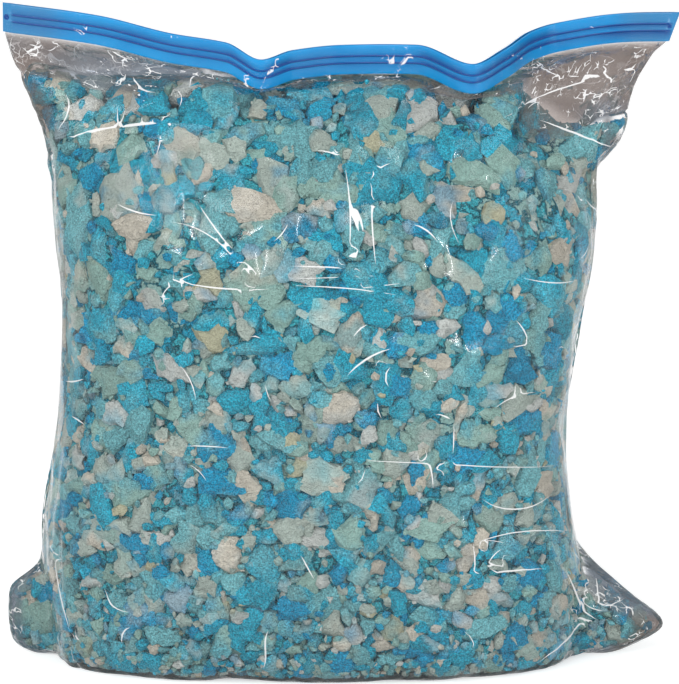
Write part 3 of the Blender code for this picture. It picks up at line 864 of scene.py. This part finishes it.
# %% [markdown]
# ## The zip
#
# Two blue plastic strips are welded inside the mouth. Each is pushed through a die as one endless profile:
# a thin flange with two tracks on its inner face, and the ridges that show where they are from outside. A
# flat band with painted lines would do from afar, but it has no edges to catch the light. So the profile is
# drawn once, as it is cut in the die, and swept along the waves of the mouth. Towards the ends the tracks
# are melted flat.

# %% Profiles of the two strips, as (distance from the middle plane, depth below the top edge)
STRIP_HEIGHT, TRACKS = 0.0155, (0.0058, 0.0095)
NEAR, FAR = 0.00075, 0.00135
RIDGE_HEIGHT, RIDGE_HALF, RIDGE_POINTS = 0.0006, 0.00062, 5


def ridge(centre):
    """A rounded ridge on the outer face, from its lower side up."""
    turns = [math.pi * i / RIDGE_POINTS for i in range(RIDGE_POINTS + 1)]
    return [(FAR + RIDGE_HEIGHT * math.sin(t), centre + RIDGE_HALF * math.cos(t)) for t in turns]


def outer_face():
    line = [(FAR - 0.0002, STRIP_HEIGHT), (FAR, STRIP_HEIGHT - 0.0006)]
    for centre in reversed(TRACKS):
        line += ridge(centre)
    return line + [(FAR, 0.0016), (FAR + 0.00012, 0.0009), (FAR, 0.0002), (FAR - 0.0003, 0.0)]


def rib_track(centre):
    """A stem with a head that widens and then narrows."""
    half = ((NEAR, 0.0002), (-0.00015, 0.0002), (-0.00015, 0.0005), (-0.00055, 0.0002))
    return [(n, centre - h) for n, h in half] + [(n, centre + h) for n, h in reversed(half)]


def channel_track(centre):
    """Two lips with hooks that face each other."""
    lip = ((NEAR, 0.00105), (-0.00035, 0.00105), (-0.00035, 0.0007), (-0.00005, 0.0004), (-0.00005, 0.0007),
           (NEAR, 0.0007))
    return [(n, centre - h) for n, h in lip] + [(n, centre + h) for n, h in reversed(lip)]


def strip_profile(track):
    inner = [(NEAR, 0.0)] + [point for centre in TRACKS for point in track(centre)] + [(NEAR, STRIP_HEIGHT)]
    return inner + outer_face()


print("profile points", len(strip_profile(rib_track)), len(strip_profile(channel_track)))

# %% Sweep a profile along the mouth
STEPS = 260


def sweep(bm, rings):
    """A closed body through rings of points, one extrusion at a time."""
    loop = [bm.verts.new(p) for p in rings[0]]
    edges = [bm.edges.new((a, b)) for a, b in zip(loop, loop[1:] + loop[:1])]
    first = edges
    for ring in rings[1:]:
        made = bmesh.ops.extrude_edge_only(bm, edges=edges)["geom"]
        fresh = {g for g in made if isinstance(g, bmesh.types.BMVert)}
        loop = [next(e.other_vert(v) for e in v.link_edges if e.other_vert(v) in fresh) for v in loop]
        for vert, place in zip(loop, ring):
            vert.co = place
        edges = [bm.edges.get(pair) for pair in zip(loop, loop[1:] + loop[:1])]
    for end in (first, edges):
        bmesh.ops.edgeloop_fill(bm, edges=end)
    bmesh.ops.recalc_face_normals(bm, faces=bm.faces)


print("the profile is set down", STEPS + 1, "times along the mouth")

# %% One strip, melted flat towards its ends
MELTED, WHOLE = 0.0045, 0.0060  # from the end: tracks melted flat up to here, whole from here
PINCH = 0.0046


def zip_strip(name, side, track):
    """One strip: its profile at every step of the mouth, flattened and pinched towards the ends."""
    line = evenly(mouth_line, STEPS)
    run = np.gradient(line[:, :2], axis=0)
    normal = np.column_stack([-run[:, 1], run[:, 0], np.zeros(len(line))])
    normal = normal / np.linalg.norm(run, axis=1)[:, None]
    along = np.linspace(0, mouth_length, STEPS + 1)
    line[0], line[-1] = line[0] * 0.75 + line[1] * 0.25, line[-1] * 0.75 + line[-2] * 0.25
    to_end = np.minimum(along, mouth_length - along)
    full = smooth_step(MELTED, WHOLE, to_end)
    pinch = np.clip(to_end / PINCH, 0.08, 1)
    rings = []
    for i in range(STEPS + 1):
        lean = RIGHT_SLANT * (i / STEPS) ** SLANT_POWER
        ring = []
        for n, h in strip_profile(track):
            base = FAR if n >= FAR else NEAR
            if n > FAR or n < NEAR:
                n = base + (n - base) * (0.12 + 0.88 * full[i])
            place = Vector(line[i] + normal[i] * side * n * pinch[i])
            ring.append(place - Vector((lean * h / STRIP_HEIGHT, 0, h)))
        rings.append(ring)
    bm = bmesh.new()
    sweep(bm, rings)
    piece = piece_from(bm, name)
    smooth_faces(piece.data, sharp=50)
    print(name, len(piece.data.polygons), "faces")
    return piece


front_strip = zip_strip("zip_front", -1, rib_track)
back_strip = zip_strip("zip_back", 1, channel_track)

# %% [markdown]
# ## Foam that looks like foam
#
# Open-celled foam is matt and full of pinholes. Up close every face glitters with tiny torn cell walls,
# some lighter and some darker than the rest. A grain that is measured in metres has the same size on a
# chunk and on a crumb, so it is made by textures of the place, in one node group: speckles for the colour,
# nubs for a bump of lumps and for a painted shade that darkens the hollows between them, and pits for a
# second bump. Every chunk then takes its two shades from the colours painted on its points.

# %% Add nodes, set them and join them
def tune(node, **values):
    """Sets a node. A value is a setting, a number for a socket, or another node's output to join to it."""
    for name, value in values.items():
        label = name.replace("_", " ")
        if isinstance(value, bpy.types.NodeSocket):
            node.id_data.links.new(value, node.inputs[label])
        elif hasattr(node, name):
            setattr(node, name, value)
        else:
            node.inputs[label].default_value = value
    return node


def add(tree, kind, **values):
    return tune(tree.nodes.new("ShaderNode" + kind), **values)


def feed(tree, sockets, values):
    """Joins an output to each socket, or gives it a number or colour."""
    for socket, value in zip(sockets, values):
        if isinstance(value, bpy.types.NodeSocket):
            tree.links.new(value, socket)
        else:
            socket.default_value = value


def maths(tree, operation, *values):
    node = add(tree, "Math", operation=operation)
    feed(tree, node.inputs, values)
    return node.outputs[0]


def vectors(tree, operation, *values):
    node = add(tree, "VectorMath", operation=operation)
    feed(tree, node.inputs, values)
    return node.outputs["Value" if operation == "DISTANCE" else "Vector"]


print("nodes can be added, tuned and joined")

# %% Short names for the nodes that the materials use most
def mix(tree, factor, a, b, kind="MIX"):
    """One colour over another."""
    node = add(tree, "Mix", data_type="RGBA", blend_type=kind)
    feed(tree, (node.inputs[0], node.inputs[6], node.inputs[7]), (factor, a, b))
    return node.outputs[2]


def mix_shaders(tree, factor, a, b):
    node = add(tree, "MixShader")
    feed(tree, node.inputs, (factor, a, b))
    return node.outputs[0]


def between(tree, value, low, high, start=0.0, end=1.0):
    """A smooth run from start to end, while the value goes from low to high."""
    node = add(tree, "MapRange", clamp=True, interpolation_type="SMOOTHSTEP")
    feed(tree, node.inputs, (value, low, high, start, end))
    return node.outputs[0]


def noise(tree, where, scale, detail, output="Fac", **more):
    return add(tree, "TexNoise", Vector=where, Scale=scale, Detail=detail, **more).outputs[output]


def cells(tree, where, scale, output="Distance", feature="F1"):
    return add(tree, "TexVoronoi", feature=feature, Vector=where, Scale=scale).outputs[output]


def in_metres(tree):
    return add(tree, "TexCoord").outputs["Object"]


def painted(tree, name, output="Fac"):
    return add(tree, "Attribute", attribute_name=name).outputs[output]


def channels(tree, colour):
    return add(tree, "SeparateColor", Color=colour).outputs


def bump(tree, strength, distance, height, **more):
    return add(tree, "Bump", Strength=strength, Distance=distance, Height=height, **more).outputs["Normal"]


print("short names are ready")

# %% New materials and new groups
def new_material(name):
    """A material, its node tree and the shader in it."""
    made = bpy.data.materials.new(name)
    made.use_nodes = True
    return made, made.node_tree, made.node_tree.nodes["Principled BSDF"]


def new_group(name, inputs, outputs):
    """A node group with number sockets, the values that come in, and the sockets that go out."""
    group = bpy.data.node_groups.new(name, "ShaderNodeTree")
    for way, labels in (("INPUT", inputs), ("OUTPUT", outputs)):
        for label in labels:
            group.interface.new_socket(label, in_out=way, socket_type="NodeSocketFloat")
    return group, group.nodes.new("NodeGroupInput").outputs, group.nodes.new("NodeGroupOutput").inputs


print("materials so far", len(bpy.data.materials))

# %% The grain group
CELLS_PER_METRE = 1300.0

grain, into, out = new_group("foam_grain", ["Cells per metre"], ["Speckle", "Pits", "Nubs"])
where, many = in_metres(grain), into["Cells per metre"]
pits = maths(grain, "ADD", cells(grain, where, many), noise(grain, where, 240.0, 3.0))
speckle = noise(grain, where, many, 2.0, Roughness=0.7)
feed(grain, (out["Nubs"], out["Speckle"], out["Pits"]), (noise(grain, where, 560.0, 2.0), speckle, pits))
print("group", grain.name, [s.name for s in grain.interface.items_tree])

# %% The foam's colours: each chunk's own two shades, and the chunks that are seen only in the gaps
DEEP_CHUNKS = 120.0  # for each metre
# the gap colour is a painted shadow on the ragged outlines between the deep chunks
DEEP_SHADE, GAP_PAINTED_SHADOW = (0.010, 0.24, 0.36, 1), (0.003, 0.09, 0.12, 1)
OTHER_DEEP_SHADES = ((0, 0.35, (0.035, 0.33, 0.40, 1)), (1, 0.70, (0.22, 0.38, 0.36, 1)))


def own_colour(tree):
    cloudy = between(tree, noise(tree, in_metres(tree), 58.0, 2.0), 0.44, 0.68, 0.0, 0.6)
    return mix(tree, cloudy, painted(tree, "shade", "Color"), painted(tree, "blotch", "Color"))


def deep_colour(tree):
    """Cells of a few shades, for the foam behind the chunks, with ragged dark outlines that are painted
    shadow in the gaps between them.
    """
    where = in_metres(tree)
    ragged = noise(tree, where, 260.0, 2.0, "Color")
    moved = vectors(tree, "MULTIPLY_ADD", ragged, (0.008, 0.008, 0.008), where)
    pick = channels(tree, cells(tree, moved, DEEP_CHUNKS, "Color"))
    colour = DEEP_SHADE
    for channel, low, shade in OTHER_DEEP_SHADES:
        colour = mix(tree, between(tree, pick[channel], low, low + 0.05), colour, shade)
    to_edge = cells(tree, moved, DEEP_CHUNKS, feature="DISTANCE_TO_EDGE")
    return mix(tree, between(tree, to_edge, 0.02, 0.14), GAP_PAINTED_SHADOW, colour)


print("foam colours in the gaps", 1 + len(OTHER_DEEP_SHADES))

# %% The foam material
def foam_material(name, colour_of):
    """Matt foam: the colour, darker and lighter by its grain, darker still as painted shade in the hollows of
    its lumps, and two bumps, lumps and then pits.
    """
    made, tree, shader = new_material(name)
    grit = add(tree, "Group", node_tree=grain, Cells_per_metre=CELLS_PER_METRE).outputs
    colour = colour_of(tree)
    # grain, and a painted shade: the nubs that raise the lumps' bump also darken the colour in the hollows
    # between them
    bright = maths(tree, "MULTIPLY", between(tree, grit["Speckle"], 0.38, 0.64, 0.60, 1.40),
                   between(tree, grit["Nubs"], 0.36, 0.60, 0.80, 1.08))
    grey = add(tree, "CombineColor", Red=bright, Green=bright, Blue=bright).outputs[0]
    strong = between(tree, channels(tree, colour)["Red"], 0.04, 0.30, 1.0, 0.28)  # pale foam shows grain less
    speckled = mix(tree, 1.0, colour, mix(tree, strong, (1, 1, 1, 1), grey), "MULTIPLY")
    lumps = bump(tree, 1.0, 0.0018, grit["Nubs"])
    pitted = bump(tree, 0.7, 0.0010, grit["Pits"], Normal=lumps)
    tune(shader, Base_Color=speckled, Roughness=0.95, Specular_IOR_Level=0.2, Normal=pitted)
    return made


torn_foam = foam_material("torn_foam", own_colour)
deep_foam = foam_material("deep_foam", deep_colour)
for piece in foam_pieces:
    piece.data.materials.append(torn_foam)
core.data.materials.append(deep_foam)
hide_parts("foam_fill")
print("foam finished on", len(foam_pieces) + 1, "pieces")

# %% [markdown]
# ## Clear film
#
# Film this thin bends no light, so it isn't glass: it is a see-through sheet with a mirror on it. How much
# of each there is depends on the angle, little mirror where the film faces you and more at a slant, and one
# node reckons that. Where the film stands away from the foam there is nothing bright behind it, and
# handling has crazed it, so it is tinted grey there: crazing, and a painted shade for the dark that shows
# through it, with patches of a painted blue-grey sky reflection. Its creases are a bump, facets with sharp
# valleys between them, because real ones would need millions of faces. Along the sharpest folds and in the
# crazing the film is drawn white: partly plastic that has turned white, as it does when it is bent hard,
# and partly painted glints. Those thin white lines tell you that there is film at all.

# %% Facets, and lines of crazing and painted glints, in metres on the flat sheet
FACETS, FINE_FACETS, CRAZE_AND_GLINT = 52.0, 190.0, 240.0  # for each metre
CRACK_AND_GLINT = 0.00024

crinkle, into, out = new_group("film_crinkle", ["Slack"], ["Height", "Lines"])
slack_in = into["Slack"]


def warped(tree, where, by, scale, detail, amount):
    """A place on the sheet, moved to and fro by a noise at another place."""
    way = noise(tree, by, scale, detail, "Color")
    return vectors(tree, "MULTIPLY_ADD", way, (amount, amount, 0.0), where)


def crazing_and_glints(tree, where):
    """Thin lines round cells, broken up where a noise is low, so that each line thins out to a point. Drawn
    white, they are crazing and painted glints.
    """
    edge = cells(tree, where, CRAZE_AND_GLINT, feature="DISTANCE_TO_EDGE")
    room = between(tree, noise(tree, where, 120.0, 1.0), 0.50, 0.66, 0.0, CRACK_AND_GLINT * CRAZE_AND_GLINT)
    return maths(tree, "LESS_THAN", edge, room)


sheet_map = add(crinkle, "UVMap", uv_map="UVMap").outputs[0]
metres = vectors(crinkle, "MULTIPLY", sheet_map, (SHEET_WIDTH, SHEET_LENGTH, 0))
bent = warped(crinkle, metres, metres, 22.0, 2.0, 0.020)
middle = maths(crinkle, "MULTIPLY", cells(crinkle, bent, FACETS), 0.32)
fine_height = maths(crinkle, "MULTIPLY", slack_in, 0.14)
fine = maths(crinkle, "MULTIPLY", cells(crinkle, bent, FINE_FACETS), fine_height)
least = maths(crinkle, "SUBTRACT", 1.02, maths(crinkle, "MULTIPLY", slack_in, 0.53))
patchy = maths(crinkle, "GREATER_THAN", noise(crinkle, metres, 38.0, 1.0), least)
short = crazing_and_glints(crinkle, warped(crinkle, bent, metres, 260.0, 1.0, 0.004))
feed(crinkle, (out["Height"], out["Lines"]),
     (maths(crinkle, "ADD", middle, fine), maths(crinkle, "MULTIPLY", short, patchy)))
print("group", crinkle.name, [s.name for s in crinkle.interface.items_tree])

# %% [markdown]
# The long folds on the front were measured on the photograph: each is an arc from one point to another that
# bulges to one side. Sides and back get folds of the same kind at random. Each is drawn as a thin white line,
# plastic whitened by bending and a painted glint. Every point of the film stores how far it is from the
# nearest fold, with a sign for the side, and how wide that fold is there. Between two points the distance
# runs through zero exactly on the fold, so that the line can be much finer than the mesh.

# %% Where the folds are: across and up of each end, bulge and width, in millimetres on the front
FOLDS = np.array([
    (-145, 284, -97, 296, 2.0, 1.6), (-142, 286, -100, 294, 2.0, 0.7), (-89, 248, -51, 221, 7.0, 0.6),
    (-74, 257, -58, 237, -0.5, 0.8), (-53, 230, -43, 221, 1.0, 0.7), (-86, 218, -38, 215, -1.5, 0.8),
    (-26, 217, 29, 212, 1.0, 0.6), (95, 218, 125, 211, -1.0, 0.6), (5, 125, 114, 112, 2.0, 0.6),
    (-82, 131, -59, 131, 0.5, 0.6), (73, 102, 112, 98, -7.0, 0.7), (61, 74, 123, 73, 7.5, 0.6),
    (69, 77, 69, 60, 1.0, 0.8), (70, 60, 107, 59, 1.5, 0.9), (118, 55, 131, 17, 1.5, 1.1),
    (136, 44, 137, 24, 0.5, 0.8), (151, 31, 104, 6, -1.5, 1.2), (2, 275, 4, 234, 1.5, 0.8),
    (16, 271, 18, 227, -1.0, 0.8), (6, 258, 11, 245, 1.0, 1.4), (91, 196, 98, 183, 1.0, 0.7),
    (98, 183, 89, 182, 1.0, 0.7), (-130, 324, -82, 290, 1.0, 1.2), (-127, 324, -84, 293, -1.0, 0.7),
    (120, 314, 161, 320, -2.5, 1.6), (85, 298, 161, 319, 1.5, 0.7), (104, 294, 147, 274, 1.0, 0.9),
    (158, 318, 147, 274, 1.5, 0.8), (102, 320, 124, 314, -2.0, 0.7), (-152, 62, -143, 24, -1.5, 0.8),
    (-143, 24, -135, 15, 0.5, 0.8), (128, 251, 141, 230, 1.5, 0.6), (116, 259, 126, 250, 2.5, 0.7),
    (80, 149, 102, 155, 2.5, 0.7), (-97, 213, -94, 204, 3.0, 0.7), (37, 248, 50, 239, 1.5, 0.9),
    (3, 170, 26, 184, 2.2, 1.1), (26, 175, 25, 163, -2.5, 0.9), (19, 156, 21, 147, -1.0, 0.9),
    (6, 190, 14, 197, 0.8, 0.9), (4, 228, 9, 236, -0.5, 1.8), (-26, 227, 14, 225, 0.4, 0.7),
    (14, 222, 31, 220, 0.3, 0.7),
]) / 1000
print(len(FOLDS), "measured folds")

# %% Distance of the film's points from the folds
STRAY_FOLDS = 150
REACH = 0.006  # a fold is stored this far to either side of it


def from_fold(at, start, end, rise, width):
    """Signed distance of each point from an arc, and half its width there, nothing past its ends."""
    a, b = np.array(start), np.array(end)
    half = np.linalg.norm(b - a) / 2
    square = np.array([a[1] - b[1], b[0] - a[0]]) / (2 * half)
    radius = (half * half + rise * rise) / (2 * abs(rise))
    top = (a + b) / 2 + square * rise
    centre = top - square * radius * math.copysign(1, rise)
    off = np.linalg.norm(at - centre, axis=1) - radius
    along = np.linalg.norm(at - top, axis=1) / (half * 1.02)
    return off, width * (1 - along ** 2) / 2


def stray_folds():
    """Folds anywhere on the flat sheet, most of them near its welded edges and near the mouth."""
    made = []
    while len(made) < STRAY_FOLDS:
        spot = rng.uniform((0, 0), (SHEET_WIDTH, SHEET_LENGTH))
        to_edge = min(spot[0], SHEET_WIDTH - spot[0], 1.5 * min(spot[1], SHEET_LENGTH - spot[1]))
        if rng.random() > math.exp(-to_edge / 0.05) + 0.15:
            continue
        turn, length = rng.uniform(0, 6.28), rng.uniform(0.006, 0.026)
        end = spot + length * np.array([math.cos(turn), math.sin(turn)])
        bulge = length * rng.choice((-1, 1)) * rng.uniform(0.03, 0.2)
        made.append((spot, end, bulge, rng.uniform(0.0005, 0.001)))
    return made


def fold_lines():
    """For each point of the film, the distance from its nearest fold and that fold's width."""
    off = np.full(len(settled), 1.0)
    width = np.full(len(settled), -0.001)
    sheet = np.column_stack([flat_x, flat_y])
    seen, on_front = settled[:, [0, 2]], flat_y < SHEET_LENGTH / 2
    jobs = [(seen, on_front, (fold[:2], fold[2:4], fold[4], fold[5])) for fold in FOLDS]
    jobs += [(sheet, np.ones(len(sheet), bool), fold) for fold in stray_folds()]
    for at, where, fold in jobs:
        distance, wide = from_fold(at, *fold)
        near = (np.abs(distance) < np.abs(off)) & (np.abs(distance) < REACH)
        nearer = where & near & (wide > -0.0006)
        off[nearer], width[nearer] = distance[nearer], wide[nearer]
    return off, width


print(STRAY_FOLDS, "stray folds to come, each stored up to", REACH * 1000, "mm to either side")

# %% What the film's points know: folds, emptiness behind, crinkle, and where the zip is
ZIP_EDGE = (0.0175, 0.0155)  # from the mouth: the zip begins between these


def paint_value(piece, name, values):
    layer = piece.data.attributes.new(name, "FLOAT", "POINT")
    layer.data.foreach_set("value", np.asarray(values, np.float32))


at_base = smooth_step(0.014, 0.004, settled[:, 2]) * (np.abs(settled[:, 0] - BODY_SHIFT) < 0.14)
hollow = smooth_step(0.009, 0.018, behind) * (1 - 0.8 * at_base)
crinkled = np.maximum(hollow, smooth_step(0.02, 0.0, from_edge)) * smooth_step(0.012, 0.017, from_mouth)
at_zip = smooth_step(*ZIP_EDGE, from_mouth)
off, width = fold_lines()
paint_value(film, "fold_off", off)
paint_value(film, "fold_width", width)
paint_value(film, "empty", hollow * smooth_step(*reversed(ZIP_EDGE), from_mouth))
paint_value(film, "on_zip", at_zip)
# on the zip, slack also brings patches of white crackle: painted glints on the band
paint_value(film, "slack", np.maximum(crinkled, 0.8 * at_zip))
print(f"folds cross {100 * (width > 0).mean():.0f} % of the film's points")

# %% White lines and milky patches
# film over air: the warm grey is crazing and a painted shade for the dark seen through it; the bluer grey and
# haze are a painted sky reflection, in patches
WARM_GREY, SKY_SHEEN_GREY = (0.405, 0.360, 0.342, 1), (0.350, 0.375, 0.405, 1)
WARM_HAZE, SKY_SHEEN_HAZE = (0.50, 0.45, 0.43, 1), (0.42, 0.49, 0.58, 1)
# the white of the lines: plastic whitened by bending, and painted glints
BENT_WHITE_AND_GLINT = (0.92, 0.92, 0.92, 1)


def whitened_and_glint_lines(tree, crazing_and_glint_mask, on_zip):
    """1 on folds and crazing, else 0: where the film is drawn white, as bent plastic and as painted glints.
    Folds end at the zip.
    """
    folded = maths(tree, "LESS_THAN", maths(tree, "ABSOLUTE", painted(tree, "fold_off")),
                   painted(tree, "fold_width"))
    folded = maths(tree, "MULTIPLY", folded, maths(tree, "LESS_THAN", on_zip, 0.5))
    return maths(tree, "MAXIMUM", crazing_and_glint_mask, folded)


def milkiness(tree, where, empty, off_zip):
    """How milky the film is: a thin veil low on the bag, more where nothing is behind it."""
    cloud = noise(tree, where, 30.0, 3.0)
    up = add(tree, "SeparateXYZ", Vector=where).outputs["Z"]
    low = between(tree, up, 0.04, 0.22, 0.018, 0.006)
    veil = maths(tree, "MULTIPLY", between(tree, cloud, 0.3, 0.7, 0.4, 1.2), low)
    milky = maths(tree, "MULTIPLY", empty, between(tree, cloud, 0.3, 0.7, 0.08, 0.22))
    return maths(tree, "MULTIPLY", maths(tree, "MAXIMUM", veil, milky), off_zip)


print("film over air is tinted", WARM_GREY[:3], "to", SKY_SHEEN_GREY[:3])

# %% The film material
def film_material():
    """A mirror over a see-through sheet, and over both a veil and the white lines of bent plastic and painted
    glints.
    """
    made, tree, shine = new_material("clear_film")
    where, empty, on_zip = in_metres(tree), painted(tree, "empty"), painted(tree, "on_zip")
    off_zip = maths(tree, "SUBTRACT", 1.0, maths(tree, "MULTIPLY", on_zip, 0.8))
    crumple = add(tree, "Group", node_tree=crinkle, Slack=painted(tree, "slack")).outputs
    creased = bump(tree, 1.0, 0.007, crumple["Height"])
    tune(shine, Base_Color=(1, 1, 1, 1), Metallic=1.0, Roughness=0.1, Normal=creased)
    mirror = add(tree, "Fresnel", IOR=1.34, Normal=creased).outputs[0]
    # patches where the film's grey tint and haze turn blue-grey: a painted sky reflection
    sky_sheen_patches = between(tree, noise(tree, where, 14.0, 1.0), 0.46, 0.56)
    tint = mix(tree, empty, (1, 1, 1, 1), mix(tree, sky_sheen_patches, WARM_GREY, SKY_SHEEN_GREY))
    clear = add(tree, "BsdfTransparent", Color=tint).outputs[0]
    sheet = mix_shaders(tree, maths(tree, "MULTIPLY", mirror, off_zip), clear, shine.outputs[0])
    lines = whitened_and_glint_lines(tree, crumple["Lines"], on_zip)
    veil = milkiness(tree, where, empty, off_zip)
    white = mix(tree, lines, mix(tree, sky_sheen_patches, WARM_HAZE, SKY_SHEEN_HAZE), BENT_WHITE_AND_GLINT)
    over = maths(tree, "MAXIMUM", maths(tree, "MULTIPLY", lines, 0.75), veil)
    matt = add(tree, "BsdfDiffuse", Color=white).outputs[0]
    tune(tree.nodes["Material Output"], Surface=mix_shaders(tree, over, sheet, matt))
    return made


film.data.materials.append(film_material())
smooth_faces(film.data)
finer = film.modifiers.new("finer", "SUBSURF")
finer.levels = finer.render_levels = 1
film.visible_shadow = False  # film this clear casts next to none
film.visible_diffuse = False
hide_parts("film_bag")
print("film finished")

# %% [markdown]
# ## Blue zip plastic
#
# The strips are tinted plastic, not painted: where the plastic is thick, in the tracks, the blue is deeper.
# A mask made from each strip's own profile can't slide, so the tracks are painted on the points of the
# mesh.

# %% The zip material
ZIP_STOPS = ((-0.1765, 0.0048, 0.3443), (0.1730, 0.0033, 0.3393))  # where the tracks' ends are melted shut
STOP_SIZE = 0.0016
THICK_BLUE, END_BLUE = (0.004, 0.055, 0.24, 1), (0.035, 0.21, 0.44, 1)
ZIP_BLUES = (0.004, 0.235, 0.56, 1), (0.008, 0.27, 0.61, 1)


def track_paint(piece):
    """Paints where the tracks are, and where the strip's ends are."""
    at = positions(piece)
    fine = evenly(mouth_line, 2000)
    down = np.interp(at[:, 0], fine[:, 0], fine[:, 2]) - at[:, 2]
    tracks = [smooth_step(0.0008, 0.0004, np.abs(down - centre)) for centre in TRACKS]
    to_end = MOUTH_WIDTH / 2 - np.abs(at[:, 0])
    paint_value(piece, "track", np.maximum(*tracks) * smooth_step(0.0045, 0.0055, to_end))
    paint_value(piece, "end", smooth_step(0.040, 0.020, to_end))


def zip_material(name):
    """Satin blue plastic, cloudy, duller towards the ends and deep blue where it is thick."""
    made, tree, shader = new_material(name)
    where = in_metres(tree)
    cloudy = noise(tree, where, 60.0, 3.0)
    shade = mix(tree, between(tree, cloudy, 0.35, 0.7), *ZIP_BLUES)
    shade = mix(tree, painted(tree, "end"), shade, END_BLUE)
    for stop in ZIP_STOPS:
        melted = maths(tree, "LESS_THAN", vectors(tree, "DISTANCE", where, stop), STOP_SIZE)
        shade = mix(tree, melted, shade, THICK_BLUE)
    shade = mix(tree, painted(tree, "track"), shade, THICK_BLUE)
    rippled = bump(tree, 0.25, 0.0008, cloudy)
    tune(shader, Base_Color=shade, Roughness=0.24, Specular_IOR_Level=0.3, Normal=rippled)
    return made


zip_blue = zip_material("zip_blue")
for piece, node in ((front_strip, "zip_strip_front"), (back_strip, "zip_strip_back")):
    track_paint(piece)
    piece.data.materials.append(zip_blue)
    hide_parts(node)
print("zip finished")

# %% [markdown]
# ## Studio
#
# A white room: a pale floor under a white sky, one large soft light, a weaker one from the other side, and
# two narrow bright ones. The narrow ones hardly light the foam. They are there for the film, whose creases
# glint as thin lines only if there is something thin and bright to mirror. The finest white lines on its
# folds and crazing are painted glints, and need nothing to mirror.

# %% Floor and world
ROOM_LIGHT = 0.55
FLOOR_GLOW = 0.5  # added to what the light gives the floor, it makes white


def seen_directly(tree):
    """1 for the rays that show a background: the camera's, and those off a mirror or through glass."""
    rays = add(tree, "LightPath").outputs
    seen = maths(tree, "MAXIMUM", rays["Is Camera Ray"], rays["Is Glossy Ray"])
    return maths(tree, "MAXIMUM", seen, rays["Is Transmission Ray"])


bm = bmesh.new()
bmesh.ops.create_grid(bm, x_segments=2, y_segments=2, size=5)
floor = piece_from(bm, "floor")
paper, tree, shader = new_material("white_paper")
glow = maths(tree, "MULTIPLY", seen_directly(tree), FLOOR_GLOW)
tune(shader, Base_Color=(0.8, 0.8, 0.8, 1), Roughness=0.9)
tune(shader, Emission_Color=(1, 1, 1, 1), Emission_Strength=glow)
floor.data.materials.append(paper)

scene.world = bpy.data.worlds.new("white_room")
scene.world.use_nodes = True
tree = scene.world.node_tree
sky = maths(tree, "MAXIMUM", seen_directly(tree), ROOM_LIGHT)
tune(tree.nodes["Background"], Color=(1, 1, 1, 1), Strength=sky)
print("floor and world are white")

# %% Lights: name, place, watts, width, height
LIGHTS = (("soft_key", (-0.9, -1.3, 1.35), 18.5, 1.5, 1.1),
          ("soft_fill", (1.2, -1.1, 0.7), 7, 1.2, 1.2),
          ("left_strip", (-0.55, -1.5, 0.9), 3.0, 0.05, 0.5),
          ("right_strip", (0.75, -1.2, 0.55), 2.5, 0.04, 0.6))
LIGHTS_AIM = Vector((0, 0, 0.16))


def stand(name, data, place, aim):
    """Something that looks from one place towards another."""
    made = bpy.data.objects.new(name, data)
    made.location = place
    made.rotation_euler = (aim - made.location).to_track_quat("-Z", "Y").to_euler()
    scene.collection.objects.link(made)
    return made


for name, place, watts, width, height in LIGHTS:
    lamp = bpy.data.lights.new(name, "AREA")
    lamp.energy, lamp.shape, lamp.size, lamp.size_y = watts, "RECTANGLE", width, height
    stand(name, lamp, place, LIGHTS_AIM)

# %% Camera: a long lens at the photograph's viewing angle, a little above the bag
CAMERA_AWAY, CAMERA_UP, LENS = 4.0, math.radians(12), 396
CAMERA_AIM = Vector((-0.001, 0.0, 0.170))
eye_place = CAMERA_AIM + Vector((0, -math.cos(CAMERA_UP), math.sin(CAMERA_UP))) * CAMERA_AWAY
eye = stand("camera", bpy.data.cameras.new("camera"), eye_place, CAMERA_AIM)
eye.data.lens = LENS
scene.camera = eye
scene.view_settings.view_transform = "Standard"
print("camera at", [round(c, 3) for c in eye.location])

# %% [markdown]
# ## Hand over to the frame
#
# The press form has done its work and goes. Every piece that is left rides the bag's one body.

# %% Bodies
bpy.data.objects.remove(press)
for piece in (film, front_strip, back_strip, core, *foam_pieces):
    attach(piece, "root")
